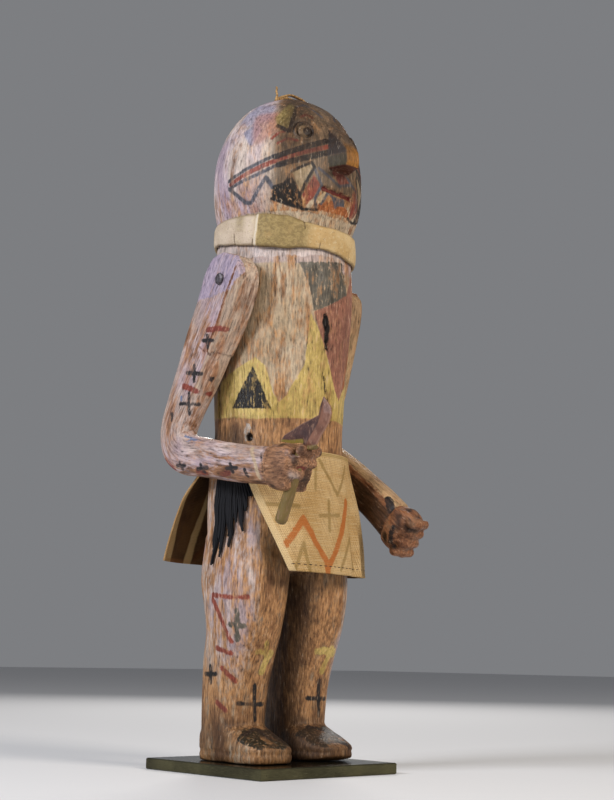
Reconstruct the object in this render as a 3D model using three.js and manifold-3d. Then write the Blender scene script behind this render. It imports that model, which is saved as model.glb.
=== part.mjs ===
// A kachina doll: a figure carved from one round root, with two nailed-on arms, a hide collar,
// a canvas kilt, a small wooden knife in its right fist and a thong on its crown, standing on
// a square brass plate. Millimetres, +Z up. The origin is the centre of the plate's underside,
// the figure faces -Y and its right hand is on the -X side.
import * as THREE from 'three';
import { mergeVertices } from 'three/addons/utils/BufferGeometryUtils.js';
import Module from 'manifold-3d';

const wasm = await Module();
wasm.setup();

// The plate
const PLATE_SIDE = 101.6;
const PLATE_THICK = 6.35;
const PLATE_BEVEL = 0.6;

// The figure, from its soles to its crown
const FIGURE_HEIGHT = 394;
const SEAT_GAP = 0.3;

// The nails
const NAIL_HEAD_DIAMETER = 6.7;
const NAIL_HEAD_THICK = 1.5;
const NAIL_SHANK_DIAMETER = 2.9;
const NAIL_LENGTH = 30;
const NAIL_PLAY = 0.3;

// The hide collar and thong, the canvas and the yarn
const COLLAR_THICK = 1.8;
const THONG_WIDTH = 2.6;
const THONG_THICK = 1.1;
const CANVAS_THICK = 1.0;
const CLOTH_GAP = 0.5;
const COLLAR_GAP = 0.8;
const STRAND_DIAMETER = 3.6;

// The knife
const BLADE_THICK = 3.6;
const HANDLE_DIAMETER = 6.6;
const HANDLE_PLAY = 0.35;

// The carving is drawn in the tables below up to the crown, and follows the figure's height.
const grow = (drawn) => drawn * (FIGURE_HEIGHT / CROWN);
const SOLE = PLATE_THICK + SEAT_GAP;
const at = (x, y, z) => new THREE.Vector3(grow(x), grow(y), SOLE + grow(z));

// A smooth run through stations: each is a row with its place first, and the named column
// between two of them follows the slope that its neighbours give it.
function along(stations, place, column) {
  const last = stations.length - 1;
  if (place <= stations[0][0]) return stations[0][column];
  if (place >= stations[last][0]) return stations[last][column];
  const i = stations.findIndex((row) => row[0] > place) - 1;
  const slope = (k) => {
    const a = stations[Math.max(k - 1, 0)];
    const b = stations[Math.min(k + 1, last)];
    return (b[column] - a[column]) / (b[0] - a[0]);
  };
  const [from, to] = [stations[i], stations[i + 1]];
  const span = to[0] - from[0];
  const t = (place - from[0]) / span;
  const rise = (1 - t) ** 2 * (1 + 2 * t) * from[column] + t ** 2 * (3 - 2 * t) * to[column];
  return rise + span * t * (1 - t) * ((1 - t) * slope(i) - t * slope(i + 1));
}

// A point of a rounded section: power 2 is an ellipse and higher powers are squarer.
function rounded(angle, wide, deep, power) {
  const bend = (value) => Math.sign(value) * Math.abs(value) ** (2 / power);
  return [wide * bend(Math.cos(angle)), deep * bend(Math.sin(angle))];
}

function section(middle, across, over, wide, deep, power, sides) {
  return Array.from({ length: sides }, (_, i) => {
    const [u, v] = rounded(2 * Math.PI * (i + 0.5) / sides, wide, deep, power);
    return middle.clone().addScaledVector(across, u).addScaledVector(over, v);
  });
}

const X = new THREE.Vector3(1, 0, 0);
const Y = new THREE.Vector3(0, 1, 0);
const Z = new THREE.Vector3(0, 0, 1);

// A closed skin over rings with equal counts, each running left-handed seen from the next.
function skin(rings) {
  const sides = rings[0].length;
  const points = rings.flat();
  const index = [];
  for (let i = 0; i + 1 < rings.length; i += 1) {
    for (let j = 0; j < sides; j += 1) {
      const [a, b] = [i * sides + j, i * sides + (j + 1) % sides];
      index.push(a, b, b + sides, a, b + sides, a + sides);
    }
  }
  const centre = (ring) => ring.reduce((sum, p) => sum.add(p), new THREE.Vector3())
    .divideScalar(sides);
  const start = points.push(centre(rings[0])) - 1;
  const end = points.push(centre(rings[rings.length - 1])) - 1;
  const top = (rings.length - 1) * sides;
  for (let j = 0; j < sides; j += 1) {
    const next = (j + 1) % sides;
    index.push(start, next, j, end, top + j, top + next);
  }
  const geometry = new THREE.BufferGeometry().setFromPoints(points);
  geometry.setIndex(index);
  return geometry;
}

function solid(geometry) {
  const bare = geometry.clone();
  bare.deleteAttribute('normal');
  bare.deleteAttribute('uv');
  const whole = mergeVertices(bare, 1e-4);
  return new wasm.Manifold(new wasm.Mesh({
    numProp: 3,
    vertProperties: new Float32Array(whole.attributes.position.array),
    triVerts: new Uint32Array(whole.index.array),
  }));
}

function geometryOf(manifold) {
  const mesh = manifold.getMesh();
  const geometry = new THREE.BufferGeometry();
  geometry.setAttribute('position', new THREE.BufferAttribute(mesh.vertProperties, 3));
  geometry.setIndex(new THREE.BufferAttribute(mesh.triVerts, 1));
  return geometry;
}

const join = (parts) => parts.map(solid).reduce((sum, part) => sum.add(part));

function box(low, high) {
  const size = new THREE.Vector3().subVectors(high, low);
  const middle = new THREE.Vector3().addVectors(high, low).divideScalar(2);
  return new THREE.BoxGeometry(size.x, size.y, size.z).translate(middle.x, middle.y, middle.z);
}

const group = new THREE.Group();

function add(name, geometry, colour, roughness, metalness = 0) {
  geometry.computeVertexNormals();
  const material = new THREE.MeshStandardMaterial({ color: colour, roughness, metalness });
  const mesh = new THREE.Mesh(geometry, material);
  mesh.name = name;
  group.add(mesh);
}

// The brass plate, with a small bevel round both faces
{
  const half = PLATE_SIDE / 2;
  const inner = half - PLATE_BEVEL;
  const square = (side, z) => [[side, side], [-side, side], [-side, -side], [side, -side]]
    .map(([x, y]) => new THREE.Vector3(x, y, z));
  const plate = skin([
    square(inner, 0), square(half, PLATE_BEVEL),
    square(half, PLATE_THICK - PLATE_BEVEL), square(inner, PLATE_THICK),
  ]);
  add('base_plate', plate, 0x6b6233, 0.35, 0.9);
}

// The trunk from the fork of the legs to the crown: height above the soles, half width,
// half depth, how far it stands back (forward is negative) and how square it is.
const TRUNK = [
  [106, 38.5, 24.0, 0.5, 3.6],
  [122, 40.0, 28.0, 0.0, 3.2],
  [140, 40.5, 32.5, 0.0, 2.6],
  [160, 39.5, 36.5, 0.0, 2.2],
  [185, 38.2, 37.2, -0.8, 2.0],
  [200, 38.9, 38.0, -0.6, 2.0],
  [233, 40.6, 40.0, -0.8, 2.0],
  [252, 41.9, 41.2, -1.0, 2.0],
  [270, 42.6, 42.0, -1.3, 2.0],
  [284, 41.6, 41.4, -1.6, 2.0],
  [297, 40.4, 40.4, -2.4, 2.0],
  [308, 40.0, 40.2, -3.2, 2.0],
  [315, 41.6, 42.0, -4.2, 2.0],
  [321, 43.4, 43.6, -4.8, 2.0],
  [330, 44.8, 44.8, -5.0, 2.0],
  [340, 45.0, 45.0, -5.0, 2.0],
];
const DOME_FOOT = TRUNK[TRUNK.length - 1][0];
const DOME_RISE = 54;
const CROWN = DOME_FOOT + DOME_RISE;
const DOME_POWER = 2.1;
const DOME_STEPS = 9;
const TRUNK_GAP = 18;
const TRUNK_SIDES = 32;

function trunkAt(height) {
  const [wide, deep, back, power] = [1, 2, 3, 4].map((column) => along(TRUNK, height, column));
  return { wide, deep, back, power };
}

function trunkRing(height, shrink = 1) {
  const { wide, deep, back, power } = trunkAt(Math.min(height, DOME_FOOT));
  return section(at(0, back, height), X, Y, grow(wide * shrink), grow(deep * shrink), power,
    TRUNK_SIDES);
}

function trunk() {
  const heights = TRUNK.slice(0, -1).flatMap(([height], i) => {
    const next = TRUNK[i + 1][0];
    return next - height > TRUNK_GAP ? [height, (height + next) / 2] : [height];
  });
  const rings = heights.map((height) => trunkRing(height));
  for (let i = 0; i < DOME_STEPS; i += 1) {
    const turn = Math.PI / 2 * i / (DOME_STEPS - 0.5);
    const rise = Math.sin(turn) ** (2 / DOME_POWER);
    const shrink = Math.cos(turn) ** (2 / DOME_POWER);
    rings.push(trunkRing(DOME_FOOT + DOME_RISE * rise, shrink));
  }
  return skin(rings);
}

// A leg: height, distance from the middle, how far back, half width, half depth, squareness
const LEG = [
  [4, 23.4, 6.8, 15.2, 16.5, 2.8],
  [22, 23.3, 6.4, 15.8, 17.0, 2.7],
  [40, 23.2, 5.4, 16.6, 17.8, 2.7],
  [56, 23.3, 3.0, 17.8, 19.2, 2.8],
  [70, 23.6, -0.6, 18.6, 20.4, 2.8],
  [86, 23.5, -1.4, 19.6, 23.0, 2.9],
  [102, 22.8, -0.2, 20.4, 25.6, 3.0],
  [126, 21.0, 0.0, 19.5, 25.5, 3.0],
];
const LEG_STEPS = 9;
const LEG_SIDES = 18;

function leg(side) {
  const [low, high] = [LEG[0][0], LEG[LEG.length - 1][0]];
  const rings = [];
  for (let i = 0; i <= LEG_STEPS; i += 1) {
    const height = low + (high - low) * i / LEG_STEPS;
    const [out, back, wide, deep, power] = [1, 2, 3, 4, 5].map((c) => along(LEG, height, c));
    rings.push(section(at(side * out, back, height), X, Y, grow(wide), grow(deep), power,
      LEG_SIDES));
  }
  return skin(rings);
}

// A foot, from the heel forward: distance in front of the middle, half width, top, sole's rise
const FOOT = [
  [-24.0, 7.0, 14, 1.2],
  [-21.5, 12.0, 20, 0],
  [-14.0, 14.6, 24, 0],
  [2.0, 15.4, 24, 0],
  [11.0, 15.8, 19.5, 0],
  [20.0, 16.0, 15.0, 0.5],
  [27.5, 14.4, 11.8, 1.2],
  [31.5, 11.0, 9.8, 2.0],
  [33.5, 6.0, 8.0, 3.0],
];
const FOOT_SIDES = 16;
const FOOT_POWER = 3.2;
const FOOT_OUT = 23.4;
const TOE_LIFT = { right: 0.6, left: 1.5 };
const SOLE_CUT = 1;

function foot(side, lift) {
  const rings = FOOT.map(([ahead, wide, top, rise]) => {
    const low = rise * lift - SOLE_CUT;
    const middle = at(side * FOOT_OUT, -ahead, (top + low) / 2);
    return section(middle, X, Z, grow(wide), grow((top - low) / 2), FOOT_POWER, FOOT_SIDES);
  });
  return skin(rings);
}

// The blunt beak: height, how far it stands out of the face, half width at its tip and root
const BEAK = [
  [339.5, 11.0, 4.8, 10.6],
  [342.5, 12.2, 5.2, 11.0],
  [350.0, 12.0, 4.8, 10.8],
  [358.0, 8.4, 4.2, 9.8],
  [366.0, 3.6, 3.4, 8.0],
  [372.0, -1.0, 2.8, 6.4],
];
const BEAK_SUNK = 6;

function beak() {
  return skin(BEAK.map(([height, out, tip, root]) => {
    const { deep, back } = trunkAt(height);
    const rise = Math.max(0, height - DOME_FOOT) / DOME_RISE;
    const face = back - deep * (1 - rise ** DOME_POWER) ** (1 / DOME_POWER);
    const sunk = face + BEAK_SUNK;
    return [[root, sunk], [-root, sunk], [-tip, face - out], [tip, face - out]]
      .map(([x, y]) => at(x, y, height));
  }));
}

// The eyes: a raised rim round a ball, set in the face either side of the beak
const EYE_TURN = THREE.MathUtils.degToRad(29);
const EYE_RISE = 21.8;
const EYE_RIM = 5.4;
const EYE_RIM_THICK = 0.95;
const EYE_BALL = 4.0;
const EYE_OUT = 40.2;
const EYE_TILT = THREE.MathUtils.degToRad(20);

function eye(side) {
  const place = new THREE.Matrix4().makeRotationZ(side * EYE_TURN)
    .multiply(new THREE.Matrix4().makeTranslation(0, -grow(EYE_OUT), 0))
    .multiply(new THREE.Matrix4().makeRotationX(Math.PI / 2 - EYE_TILT));
  const lifted = new THREE.Matrix4()
    .makeTranslation(0, grow(trunkAt(DOME_FOOT).back), SOLE + grow(DOME_FOOT + EYE_RISE));
  const shapes = [
    new THREE.TorusGeometry(grow(EYE_RIM), grow(EYE_RIM_THICK), 6, 14),
    new THREE.SphereGeometry(grow(EYE_BALL), 10, 7).scale(1, 1, 0.55),
  ];
  return shapes.map((shape) => shape.applyMatrix4(place).applyMatrix4(lifted));
}

// The mouth: a shallow cut round the front of the jaw, lower in its middle
const MOUTH = { height: 325.4, half: 2.2, turn: 0.4, depth: 1.5 };
const MOUTH_STEPS = 8;
const CUT_CLEAR = 4;

function mouthCut() {
  const rings = [];
  for (let i = 0; i <= MOUTH_STEPS; i += 1) {
    const turn = MOUTH.turn * (2 * i / MOUTH_STEPS - 1);
    const { wide, back } = trunkAt(MOUTH.height);
    const [inner, outer] = [wide - MOUTH.depth, wide + CUT_CLEAR];
    const thin = MOUTH.half * (1 - 0.5 * (turn / MOUTH.turn) ** 2);
    const corner = (reach, height) => at(reach * Math.sin(turn), back - reach * Math.cos(turn),
      height);
    rings.push([
      corner(inner, MOUTH.height - thin), corner(inner, MOUTH.height + thin),
      corner(outer, MOUTH.height + thin), corner(outer, MOUTH.height - thin),
    ]);
  }
  return skin(rings);
}

// The seats that are pared flat on the trunk's sides for the arms
const ARM_SEAT = { out: 41.0, low: 206, high: 300 };

// Cuts reach past the whole body: twice the widest half width of the trunk
const CUT_REACH = 2 * Math.max(...TRUNK.map(([, wide]) => wide));

function seatCut(side) {
  const [near, far] = [ARM_SEAT.out, CUT_REACH].map((out) => side * out);
  return box(at(Math.min(near, far), -CUT_REACH, ARM_SEAT.low),
    at(Math.max(near, far), CUT_REACH, ARM_SEAT.high));
}

function underCut() {
  return box(at(-CUT_REACH, -CUT_REACH, -CUT_REACH), at(CUT_REACH, CUT_REACH, 0));
}

// An arm is one bent sweep in the upright plane beside the body: each station gives how far
// back it is, its height, half its depth, and how far its middle is from the seat.
const ARM_RIGHT = [
  [-16.0, 285.5, 9.5, 6.4],
  [-14.0, 280, 17.6, 6.4],
  [-10.2, 269, 21.0, 6.4],
  [-3.4, 254, 20.2, 6.6],
  [5.4, 238, 18.6, 7.2],
  [13.6, 221, 16.8, 8.2],
  [22.6, 204, 15.0, 9.4],
  [28.2, 190, 13.8, 10.6],
  [26.8, 179, 12.6, 11.2],
  [17.8, 172.4, 11.8, 11.3],
  [4.0, 169.6, 11.4, 11.0],
  [-12.0, 166.4, 11.0, 10.2],
  [-29.4, 163.2, 10.8, 9.0],
  [-44.6, 161.0, 10.6, 7.4],
  [-52.0, 160.0, 10.4, 6.4],
];
const ARM_LEFT = [
  [-7.5, 283.5, 7.0, 6.4],
  [-6.0, 279, 12.5, 6.4],
  [-3.5, 269, 14.8, 6.4],
  [0.5, 254, 15.0, 6.6],
  [6.0, 238, 14.8, 7.4],
  [12.6, 221, 14.8, 8.6],
  [20.0, 204, 14.0, 9.8],
  [23.4, 191, 13.0, 10.6],
  [17.0, 181.5, 12.0, 11.0],
  [6.6, 176.2, 11.2, 11.0],
  [-7.4, 167.8, 11.0, 10.6],
  [-21.4, 158.4, 11.2, 10.0],
  [-35.0, 149.0, 11.6, 9.0],
  [-46.0, 140.8, 11.8, 8.0],
  [-50.5, 137.2, 12.0, 7.6],
];
const ARM_THICK = [[0, 4.6], [2, 6.1], [7, 6.4], [10, 7.4], [14, 7.8]];
const ARM_STEPS = 24;
const ARM_SIDES = 12;
const ARM_POWER = 3.0;

function armAt(stations, side, place) {
  const rows = stations.map((row, i) => [i, ...row]);
  const spot = (p) => at(side * (ARM_SEAT.out + along(rows, p, 4)), along(rows, p, 1),
    along(rows, p, 2));
  const step = 0.05;
  const last = stations.length - 1;
  const ahead = spot(Math.min(place + step, last));
  const heading = ahead.sub(spot(Math.max(place - step, 0))).normalize();
  const over = new THREE.Vector3().crossVectors(heading, X).normalize();
  const half = along(rows, place, 3);
  return { middle: spot(place), heading, over, half, thick: along(ARM_THICK, place, 1) };
}

function arm(stations, side) {
  const rings = [];
  for (let i = 0; i <= ARM_STEPS; i += 1) {
    const place = (stations.length - 1) * i / ARM_STEPS;
    const { middle, over, half, thick } = armAt(stations, side, place);
    rings.push(section(middle, X, over, grow(thick), grow(half), ARM_POWER, ARM_SIDES));
  }
  return skin(rings);
}

// A fist on the end of an arm: distance past the wrist, half height, half width
const FIST = [
  [-4, 9.4, 7.2],
  [0, 10.6, 8.4],
  [5, 12.2, 10.4],
  [12, 13.0, 11.4],
  [19, 12.6, 11.2],
  [25, 10.6, 9.8],
];
const FIST_SIDES = 12;
const FIST_LENGTH = { right: 0.735, left: 0.62 };
const FIST_LEAN = { right: 0.42, left: 0 };
const FINGER = { count: 4, half: 3.7, reach: 26.5, long: 8.0, lap: 0.84, full: 0.72, tip: 0.5 };

function fist(stations, side, length, lean) {
  const { middle, heading, over } = armAt(stations, side, stations.length - 1);
  const palm = skin(FIST.map(([past, high, wide]) => section(
    middle.clone().addScaledVector(heading, grow(past * length)), X, over, grow(wide),
    grow(high), 2.6, FIST_SIDES,
  )));
  const fingers = Array.from({ length: FINGER.count }, (_, i) => {
    const rise = (i - (FINGER.count - 1) / 2) * 2 * FINGER.half * FINGER.lap;
    const ahead = FINGER.reach * length + lean * rise;
    const centre = middle.clone().addScaledVector(heading, grow(ahead))
      .addScaledVector(over, grow(rise));
    const ends = [-1, -FINGER.full, FINGER.full, 1];
    return skin(ends.map((end) => {
      const half = grow(FINGER.half * (Math.abs(end) < 1 ? 1 : FINGER.tip));
      return section(centre.clone().addScaledVector(X, grow(FINGER.long * end)), Y, Z, half, half,
        2, 10);
    }));
  });
  return [palm, ...fingers];
}

// How far from the middle the hips reach, along a turn from the front at a height
const REACH_STEP = 0.1;

function hipReach(turn, height) {
  const radians = THREE.MathUtils.degToRad(turn - 90);
  const hip = trunkAt(height);
  const legs = height <= LEG[LEG.length - 1][0];
  const [out, legBack, legWide, legDeep, legPower] = [1, 2, 3, 4, 5]
    .map((column) => along(LEG, height, column));
  const inside = (x, y, wide, deep, power) =>
    (Math.abs(x) / wide) ** power + (Math.abs(y) / deep) ** power <= 1;
  let reach = hip.wide + legWide;
  while (reach > 0) {
    const [x, y] = [reach * Math.cos(radians), reach * Math.sin(radians) + hip.back];
    if (inside(x, y - hip.back, hip.wide, hip.deep, hip.power)) return reach;
    if (legs && inside(Math.abs(x) - out, y - legBack, legWide, legDeep, legPower)) return reach;
    reach -= REACH_STEP;
  }
  return 0;
}

// The knife stands in the upright plane through the right fist: a handle that leans forward
// and a blade with a spear point and one long wing back toward the body.
const KNIFE = {
  out: ARM_SEAT.out + 6,
  butt: [-57.5, 128.5],
  neck: [-75.5, 168.5],
  outline: [
    [-77.0, 166.0], [-84.5, 166.5], [-89.6, 173.5], [-95.2, 179.5], [-97.0, 184.0],
    [-96.2, 188.0], [-90.8, 194.0], [-88.4, 189.0], [-87.2, 184.2], [-74.0, 181.0],
    [-60.2, 176.4], [-56.8, 173.2], [-66.0, 171.2], [-74.5, 170.8],
  ],
};
const HANDLE_SIDES = 10;
const BORE_SPARE = 4;

function handle(diameter, spare) {
  const [from, to] = [KNIFE.butt, KNIFE.neck].map(([y, z]) => at(-KNIFE.out, y, z));
  const heading = to.clone().sub(from).normalize();
  const over = new THREE.Vector3().crossVectors(heading, X);
  const half = diameter / 2;
  const ends = [from.addScaledVector(heading, -spare), to.addScaledVector(heading, spare)];
  return skin(ends.map((end) => section(end, X, over, half, half, 2, HANDLE_SIDES)));
}

function blade(spare) {
  const half = BLADE_THICK / 2 + spare;
  const shape = new THREE.Shape(KNIFE.outline.map(([y, z]) => {
    const corner = at(0, y, z);
    return new THREE.Vector2(corner.y, corner.z - spare);
  }));
  const flat = new THREE.ExtrudeGeometry(shape, { depth: 2 * half, bevelEnabled: false });
  const turn = new THREE.Matrix4().set(0, 0, 1, -half - grow(KNIFE.out), 1, 0, 0, 0,
    0, 1, 0, 0, 0, 0, 0, 1);
  return flat.applyMatrix4(turn);
}

// Nails through the shoulders, square to the sides, each a little behind and above the middle
// of the arm at its third station. Their heads lie just clear of the arm.
const NAIL = { station: 2, behind: 1.8, above: 3.0 };

function nail(side, spare) {
  const [back, height, , out] = ARM_RIGHT[NAIL.station];
  const face = ARM_SEAT.out + out + along(ARM_THICK, NAIL.station, 1) + NAIL_PLAY;
  const from = at(side * face, back + NAIL.behind, height + NAIL.above);
  const toward = X.clone().multiplyScalar(side);
  const runs = [
    [-NAIL_LENGTH, NAIL_SHANK_DIAMETER], [0.2, NAIL_SHANK_DIAMETER],
    [0.2, NAIL_HEAD_DIAMETER], [NAIL_HEAD_THICK * 0.7, NAIL_HEAD_DIAMETER],
    [NAIL_HEAD_THICK, NAIL_HEAD_DIAMETER * 0.8],
  ];
  const across = side > 0 ? Y : Y.clone().negate();
  return skin(runs.map(([reach, diameter], i) => {
    const middle = from.clone().addScaledVector(toward, reach + (i === 0 ? -spare : 0));
    const half = diameter / 2 + spare;
    return section(middle, across, Z, half, half, 2, 12);
  }));
}

// The figure's body: trunk, legs, feet, beak and eyes in one, then what is cut away
const nailBores = [-1, 1].map((side) => solid(nail(side, NAIL_PLAY)));
{
  let body = join([
    trunk(), leg(-1), leg(1), foot(-1, TOE_LIFT.right), foot(1, TOE_LIFT.left), beak(),
    ...eye(-1), ...eye(1),
  ]);
  for (const cut of [underCut(), mouthCut(), seatCut(-1), seatCut(1)]) {
    body = body.subtract(solid(cut));
  }
  for (const bore of nailBores) body = body.subtract(bore);
  add('figure_body', geometryOf(body), 0xa98a6c, 0.8);
}

// The arms, bored for their nails, the right one for the knife's handle too
{
  let right = join([arm(ARM_RIGHT, -1), ...fist(ARM_RIGHT, -1, FIST_LENGTH.right, FIST_LEAN.right)]);
  right = right.subtract(nailBores[0]);
  right = right.subtract(solid(handle(HANDLE_DIAMETER + 2 * HANDLE_PLAY, BORE_SPARE)));
  right = right.subtract(solid(blade(HANDLE_PLAY)));
  add('arm_right', geometryOf(right), 0xa58a78, 0.8);
  let left = join([arm(ARM_LEFT, 1), ...fist(ARM_LEFT, 1, FIST_LENGTH.left, FIST_LEAN.left)]);
  left = left.subtract(nailBores[1]);
  add('arm_left', geometryOf(left), 0x8a6246, 0.8);
}

add('nail_right', nail(-1, 0), 0x5b5a5c, 0.5, 0.8);
add('nail_left', nail(1, 0), 0x5b5a5c, 0.5, 0.8);
add('knife', geometryOf(join([handle(HANDLE_DIAMETER, 0), blade(0)])), 0x6d4a44, 0.7);

// The collar: a strip of hide round the neck. Each station gives the turn from the front, which
// grows toward the figure's left, and the heights of its lower and upper edges.
const COLLAR = [
  [-180, 300.6, 312.0],
  [-116, 299.6, 312.0],
  [-86, 295.2, 311.6],
  [-70, 293.0, 311.4],
  [-42, 291.0, 309.8],
  [-20, 291.8, 306.8],
  [2, 291.8, 306.0],
  [30, 289.8, 306.6],
  [70, 292.4, 310.0],
  [116, 297.6, 312.0],
  [180, 300.6, 312.0],
];
const COLLAR_SIDES = 32;
{
  const rings = [];
  for (let i = 0; i < COLLAR_SIDES; i += 1) {
    const degrees = 360 * i / COLLAR_SIDES - 180;
    const turn = THREE.MathUtils.degToRad(degrees - 90);
    const [low, high] = [1, 2].map((column) => along(COLLAR, degrees, column));
    const spot = (height, out) => {
      const { wide, deep, back } = trunkAt(height);
      const clear = COLLAR_GAP + out;
      return new THREE.Vector3((grow(wide) + clear) * Math.cos(turn),
        grow(back) + (grow(deep) + clear) * Math.sin(turn), SOLE + grow(height));
    };
    const heights = [0, 0.33, 0.67, 1].map((share) => low + share * (high - low));
    rings.push([
      ...heights.map((height) => spot(height, 0)).reverse(),
      ...heights.map((height) => spot(height, COLLAR_THICK)),
    ]);
  }
  const count = rings[0].length;
  const geometry = new THREE.BufferGeometry().setFromPoints(rings.flat());
  const index = [];
  for (let i = 0; i < rings.length; i += 1) {
    const next = (i + 1) % rings.length;
    for (let j = 0; j < count; j += 1) {
      const k = (j + 1) % count;
      const [a, b, c, d] = [i * count + j, i * count + k, next * count + k, next * count + j];
      index.push(a, c, b, a, d, c);
    }
  }
  geometry.setIndex(index);
  add('collar', geometry, 0xb7a263, 0.75);
}

// The kilt: one cloth from the front of the right hip, round the belly, the left side and the
// back, to a flap that stands off behind the right hip. Turn 0 is the front, and it grows
// toward the figure's left.
const KILT = {
  top: 174, from: [-74, -31], to: [246, 234], rows: 6, columns: 38, waist: 1.0,
  hem: [[-31, 105.0], [45, 104.4], [110, 107.0], [175, 111.0], [234, 112.0]],
  flareSide: 10.0, flareFront: 6.0, flareBack: 8.5,
  flap: 15.0, flapTurns: 46, foldDeep: 1.5, foldTurn: 34, foldFrom: 40, foldTo: 200,
};

function kiltSpot(share, drop, out) {
  const lerp = THREE.MathUtils.lerp;
  const turn = lerp(lerp(...KILT.from, drop), lerp(...KILT.to, drop), share);
  const flap = THREE.MathUtils.smoothstep(turn, KILT.to[1] - KILT.flapTurns, KILT.to[0]);
  const hem = along(KILT.hem, lerp(KILT.from[1], KILT.to[1], share), 1);
  const height = lerp(KILT.top, hem, drop);
  const hip = trunkAt(height);
  const waist = trunkAt(KILT.top);
  const radians = THREE.MathUtils.degToRad(turn - 90);
  const [cos, sin] = [Math.cos(radians), Math.sin(radians)];
  const wide = Math.max(hip.wide, waist.wide) + KILT.flareSide * drop;
  const deep = Math.max(hip.deep, waist.deep)
    + (sin < 0 ? KILT.flareFront : KILT.flareBack) * drop;
  const radius = ((Math.abs(cos) / wide) ** 2.2 + (Math.abs(sin) / deep) ** 2.2) ** (-1 / 2.2);
  const folded = turn > KILT.foldFrom && turn < KILT.foldTo ? 1 : 0;
  const fold = KILT.foldDeep * drop * folded
    * Math.sin(Math.PI * (turn - KILT.foldFrom) / KILT.foldTurn) ** 2;
  const stand = flap * KILT.flap * (0.3 * THREE.MathUtils.smoothstep(drop, 0.1, 0.45)
    + 0.7 * drop);
  const hang = Math.max(radius, hipReach(turn, height)) + KILT.waist;
  const reach = grow(hang + stand + fold) + CLOTH_GAP + out;
  return new THREE.Vector3(reach * cos, reach * sin + grow(hip.back), SOLE + grow(height));
}
{
  const rings = [];
  for (let i = 0; i <= KILT.columns; i += 1) {
    const share = i / KILT.columns;
    const drops = Array.from({ length: KILT.rows + 1 }, (_, j) => j / KILT.rows);
    rings.push([
      ...drops.map((drop) => kiltSpot(share, drop, CANVAS_THICK)),
      ...drops.reverse().map((drop) => kiltSpot(share, drop, 0)),
    ]);
  }
  add('kilt', skin(rings), 0xb59a63, 0.9);
}

// The tuft at the right hip: strands side by side on the thigh, longest at the back
const TUFT = {
  top: 157,
  strands: [[-63, 131], [-68.5, 124], [-74, 129], [-79.5, 118], [-85, 113], [-89.5, 109]],
};
{
  const half = STRAND_DIAMETER / 2;
  const strands = TUFT.strands.map(([turn, low]) => {
    const heights = [TUFT.top, TUFT.top - 4, (TUFT.top + low) / 2, low + 8, low];
    return skin(heights.map((height, i) => {
      const radians = THREE.MathUtils.degToRad(turn - 90);
      const [cos, sin] = [Math.cos(radians), Math.sin(radians)];
      const reach = grow(hipReach(turn, height)) + CLOTH_GAP + half;
      const middle = new THREE.Vector3(reach * cos, reach * sin + grow(trunkAt(height).back),
        SOLE + grow(height));
      const across = new THREE.Vector3(-sin, cos, 0);
      const outward = new THREE.Vector3(cos, sin, 0);
      const thin = [0.7, 1, 1, 0.9, 0.35][i];
      return section(middle, outward, across, half * thin * 0.9, half * thin * 1.5, 2.2, 8);
    }).reverse());
  });
  add('hip_tuft', geometryOf(join(strands)), 0x14151a, 0.6);
}

// The thong: a flat strip that arches over the crown, with one end standing up. Its points
// give the distance to the figure's left and the rise above the crown.
const THONG = {
  arch: [[-15.5, -3.4], [-9.5, 1.4], [-1, 4.2], [7, 3.0], [13.5, -2.6]],
  tail: [[-14.6, -2.4], [-14.2, 2], [-14.8, 6.6]],
  ahead: -9,
};
{
  const half = THONG_WIDTH / 2;
  const thin = THONG_THICK / 2;
  const strip = (points, wide) => {
    const spots = points.map(([across, rise]) => at(across, THONG.ahead, CROWN + rise));
    const curve = new THREE.CatmullRomCurve3(spots);
    const count = points.length * 2;
    return skin(Array.from({ length: count + 1 }, (_, i) => {
      const heading = curve.getTangent(i / count);
      const over = new THREE.Vector3().crossVectors(heading, Y);
      return section(curve.getPoint(i / count), Y, over, wide, thin, 3, 6);
    }));
  };
  const thong = join([strip(THONG.arch, half), strip(THONG.tail, thin)]);
  const clear = solid(trunk());
  add('head_thong', geometryOf(thong.subtract(clear)), 0x8a6a3a, 0.8);
}

export default group;
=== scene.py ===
# A kachina doll on its brass plate: the looks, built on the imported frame. Metres in Blender,
# while sizes below are in millimetres, as a carver would measure them.
import math
from itertools import product

import bmesh
import bpy
import numpy as np
from mathutils import Matrix


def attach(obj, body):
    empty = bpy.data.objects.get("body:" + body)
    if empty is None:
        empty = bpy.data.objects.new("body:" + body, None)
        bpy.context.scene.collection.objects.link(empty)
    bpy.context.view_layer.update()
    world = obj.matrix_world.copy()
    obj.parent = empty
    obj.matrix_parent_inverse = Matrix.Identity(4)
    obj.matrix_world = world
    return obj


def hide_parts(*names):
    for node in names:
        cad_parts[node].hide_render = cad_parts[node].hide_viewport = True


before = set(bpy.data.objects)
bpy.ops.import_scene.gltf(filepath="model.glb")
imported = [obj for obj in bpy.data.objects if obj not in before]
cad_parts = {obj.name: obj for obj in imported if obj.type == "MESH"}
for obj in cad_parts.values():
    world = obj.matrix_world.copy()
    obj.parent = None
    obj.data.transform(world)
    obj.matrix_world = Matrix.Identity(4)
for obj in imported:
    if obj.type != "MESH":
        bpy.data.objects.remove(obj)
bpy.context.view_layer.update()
scene = bpy.context.scene
MM = 0.001


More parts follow.
